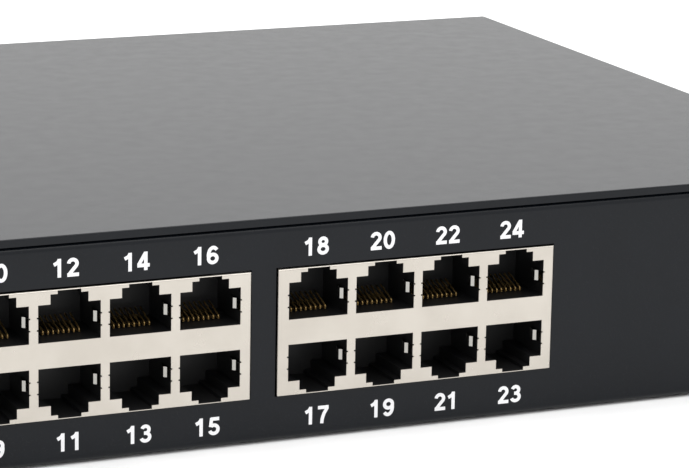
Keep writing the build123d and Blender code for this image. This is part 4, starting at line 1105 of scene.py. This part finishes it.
# %% Numeral strokes
WEIGHT = 0.195  # stroke width, as a share of the numeral's height
ADVANCE = 0.775  # from one numeral to the next
NUMERAL_WIDTH = 0.74
ARC_STEP = 9.0  # degrees
CLOSE = 1e-6  # a stroke whose ends are nearer than this is a closed loop
MERGE_WITHIN = 1e-5
MITRE_LIMIT = 0.5


def arc(cx, cy, rx, ry, start, end):
    """Points along part of an ellipse, from one angle to another, in degrees."""
    count = max(3, round(abs(end - start) / ARC_STEP))
    angles = [radians(start + (end - start) * i / count) for i in range(count + 1)]
    return [(cx + rx * cos(angle), cy + ry * sin(angle)) for angle in angles]


NUMERALS = {
    "0": [arc(0.37, 0.5, 0.24, 0.405, 0, 360)],
    "1": [[(0.40, 0.0), (0.40, 1.0)], [(0.42, 0.95), (0.30, 0.79), (0.10, 0.69)]],
    "2": [
        arc(0.365, 0.69, 0.225, 0.215, 175, -35) + [(0.40, 0.40), (0.17, 0.13)],
        [(0.06, 0.095), (0.70, 0.095)],
    ],
    "3": [
        arc(0.35, 0.715, 0.20, 0.19, 160, -90),
        arc(0.35, 0.31, 0.24, 0.215, 90, -162),
        [(0.27, 0.525), (0.37, 0.525)],
    ],
    "4": [[(0.50, 0.0), (0.50, 1.0)], [(0.03, 0.27), (0.72, 0.27)], [(0.10, 0.30), (0.47, 0.92)]],
    "5": [
        [(0.17, 0.905), (0.66, 0.905)],
        [(0.23, 0.96), (0.165, 0.47)],
        arc(0.355, 0.325, 0.24, 0.23, 132, -162),
    ],
    "6": [arc(0.37, 0.315, 0.235, 0.22, 0, 360), arc(0.40, 0.5, 0.27, 0.405, 200, 42)],
    "7": [[(0.06, 0.905), (0.69, 0.905)], [(0.62, 0.88), (0.42, 0.55), (0.32, 0.26), (0.30, 0.0)]],
    "8": [arc(0.37, 0.725, 0.195, 0.18, 0, 360), arc(0.37, 0.305, 0.24, 0.21, 0, 360)],
}
NUMERALS["9"] = [[(NUMERAL_WIDTH - x, 1.0 - y) for x, y in stroke] for stroke in NUMERALS["6"]]


def stroke_quads(points, weight):
    """The band of a stroke, as one four-cornered face for each of its runs."""
    closed = (Vector(points[0]) - Vector(points[-1])).length < CLOSE
    path = [Vector(p) for p in (points[:-1] if closed else points)]
    count = len(path)
    rails = []
    for i, point in enumerate(path):
        before = path[i - 1] if closed or i else None
        after = path[(i + 1) % count] if closed or i < count - 1 else None
        into = (point - before).normalized() if before is not None else None
        onward = (after - point).normalized() if after is not None else None
        along = ((into or onward) + (onward or into)).normalized()
        side = Vector((-along.y, along.x))
        half = weight / 2 / max(along.dot(into or onward), MITRE_LIMIT)
        rails.append((point + side * half, point - side * half))
    last = count if closed else count - 1
    return [
        (rails[i][0], rails[i][1], rails[(i + 1) % count][1], rails[(i + 1) % count][0])
        for i in range(last)
    ]


def merged_shape(quads):
    """One flat triangulated shape from overlapping faces: (points, triangles)."""
    points = [corner for quad in quads for corner in quad]
    faces = [tuple(range(4 * i, 4 * i + 4)) for i in range(len(quads))]
    made = delaunay_2d_cdt(points, [], faces, 0, MERGE_WITHIN)
    return made[0], [face for face, sources in zip(made[2], made[5]) if sources]


numeral_shapes = {
    digit: merged_shape([quad for stroke in strokes for quad in stroke_quads(stroke, WEIGHT)])
    for digit, strokes in NUMERALS.items()
}
print("numerals", {digit: len(shape[1]) for digit, shape in numeral_shapes.items()})


# %% [markdown]
# ## Printing
# Screen-printed ink stands a few hundredths of a millimetre off the paint. So each mark is
# a thin closed layer, not a picture on the surface, and it keeps its crisp edge in every
# view. The same function prints the rocker's two marks and the earth sign on the rear.

# %% Ink
INK_PROUD = 0.03 * MM
INK_SUNK = 0.01 * MM
ink = finish(
    "white_ink", (0.70, 0.70, 0.71), (0.76, 0.76, 0.77), (0.45, 0.55), relief_size=0.3, bump=0.1
)


def layer(name, shapes, origin, across, up):
    """A thin closed layer of ink. Each shape is (points, faces); across and up span it."""
    out_way = across.cross(up).normalized()
    work = bmesh.new()
    for points, faces in shapes:
        verts = [
            work.verts.new(origin + across * p[0] + up * p[1] - out_way * INK_SUNK) for p in points
        ]
        for face in faces:
            work.faces.new([verts[i] for i in face])
    grown = bmesh.ops.extrude_face_region(work, geom=work.faces[:])
    lifted = [v for v in grown["geom"] if isinstance(v, bmesh.types.BMVert)]
    bmesh.ops.translate(work, verts=lifted, vec=out_way * (INK_PROUD + INK_SUNK))
    obj = bmesh_object(name, work)
    obj.data.materials.append(ink)
    return obj


# %% [markdown]
# Jacks are numbered in pairs from left to right: the lower one odd and the upper one even.
# The numbers sit just clear of each block's face, and the print is a touch off centre, as
# screens rarely line up perfectly with punched holes.

# %% Print the port numbers
NUMERAL_HEIGHT = 3.55 * MM
GAP_ABOVE = 2.1 * MM  # from a jack block's face to the even numbers
GAP_BELOW = 3.0 * MM  # and down to the odd ones
SHIFT_ABOVE = -0.58 * MM  # the print isn't quite centred on the jacks
SHIFT_BELOW = 0.0
LABEL_PITCH = 13.82 * MM  # and its columns are a little closer
X_WAY, Z_WAY = Vector((1, 0, 0)), Vector((0, 0, 1))


def numeral_layer(number, centre_x, base_z):
    """One port's number on the front panel."""
    text = str(number)
    width = (ADVANCE * (len(text) - 1) + NUMERAL_WIDTH) * NUMERAL_HEIGHT
    shapes = []
    for place, digit in enumerate(text):
        points, faces = numeral_shapes[digit]
        shapes.append(([(p.x + place * ADVANCE, p.y) for p in points], faces))
    origin = Vector((centre_x - width / 2, tray_low.y, base_z))
    return layer(
        f"number_{number:02d}", shapes, origin, X_WAY * NUMERAL_HEIGHT, Z_WAY * NUMERAL_HEIGHT
    )


for block in BLOCKS:
    low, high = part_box(f"jack_shield_{block}")
    for column in range(PORTS_PER_ROW):
        x = (low.x + high.x) / 2 + (column - (PORTS_PER_ROW - 1) / 2) * LABEL_PITCH
        odd = (block - 1) * 2 * PORTS_PER_ROW + 2 * column + 1
        for number, place_x, z in (
            (odd, x + SHIFT_BELOW, low.z - GAP_BELOW - NUMERAL_HEIGHT),
            (odd + 1, x + SHIFT_ABOVE, high.z + GAP_ABOVE),
        ):
            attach(numeral_layer(number, place_x, z), "case")

# %% [markdown]
# ## Marks on the rear
# A power switch carries a bar for on and a ring for off, and the screw for the earth lead
# carries the earth sign: a stem on three bars that get shorter. Each mark is drawn with the
# numerals' own strokes. The rocker's two ride on the rocker, so they tilt with it, and
# their place on its hollow face is found by casting a ray onto the solid cap.

# %% Print the rear marks
MARK_HEIGHT = 2.6 * MM
MARK_WEIGHT = 0.16
MARK_REACH = 4.6 * MM  # from the rocker's middle to each mark
RAY_START = 10 * MM  # behind the rocker
EARTH_HEIGHT = 3.4 * MM
EARTH_GAP = 3.2 * MM  # from the earth screw's head up to the stem's foot
ON_MARK = [[(0.0, -0.5), (0.0, 0.5)]]
OFF_MARK = [arc(0.0, 0.0, 0.42, 0.42, 0, 360)]
EARTH_MARK = [
    [(0.0, 0.0), (0.0, 0.55)],
    [(-0.5, 0.0), (0.5, 0.0)],
    [(-0.32, -0.22), (0.32, -0.22)],
    [(-0.14, -0.44), (0.14, -0.44)],
]


def mark_shape(strokes):
    """One merged shape from a mark's strokes."""
    return merged_shape([quad for stroke in strokes for quad in stroke_quads(stroke, MARK_WEIGHT)])


BACK_WAY = Vector((-1, 0, 0))  # to the right when facing the rear
cap = nodes["rocker_cap"]
cap_low, cap_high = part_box("rocker_cap")
into_cap = cap.matrix_world.inverted()
for name, strokes, rise in (("rocker_on", ON_MARK, 1), ("rocker_off", OFF_MARK, -1)):
    start = (cap_low + cap_high) / 2 + Z_WAY * rise * MARK_REACH
    start.y = cap_high.y + RAY_START
    hit, place, normal, _ = cap.ray_cast(into_cap @ start, Vector((0, -1, 0)))
    print(name, hit, [round(v, 4) for v in place], [round(v, 3) for v in normal])
    up = normal.cross(BACK_WAY).normalized()
    mark = layer(name, [mark_shape(strokes)], place, BACK_WAY * MARK_HEIGHT, up * MARK_HEIGHT)
    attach(mark, "power_rocker")

ground_low, ground_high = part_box("ground_screw")
earth = layer(
    "earth_sign",
    [mark_shape(EARTH_MARK)],
    Vector(((ground_low.x + ground_high.x) / 2, tray_high.y, ground_high.z + EARTH_GAP)),
    BACK_WAY * EARTH_HEIGHT,
    Z_WAY * EARTH_HEIGHT,
)
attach(earth, "case")
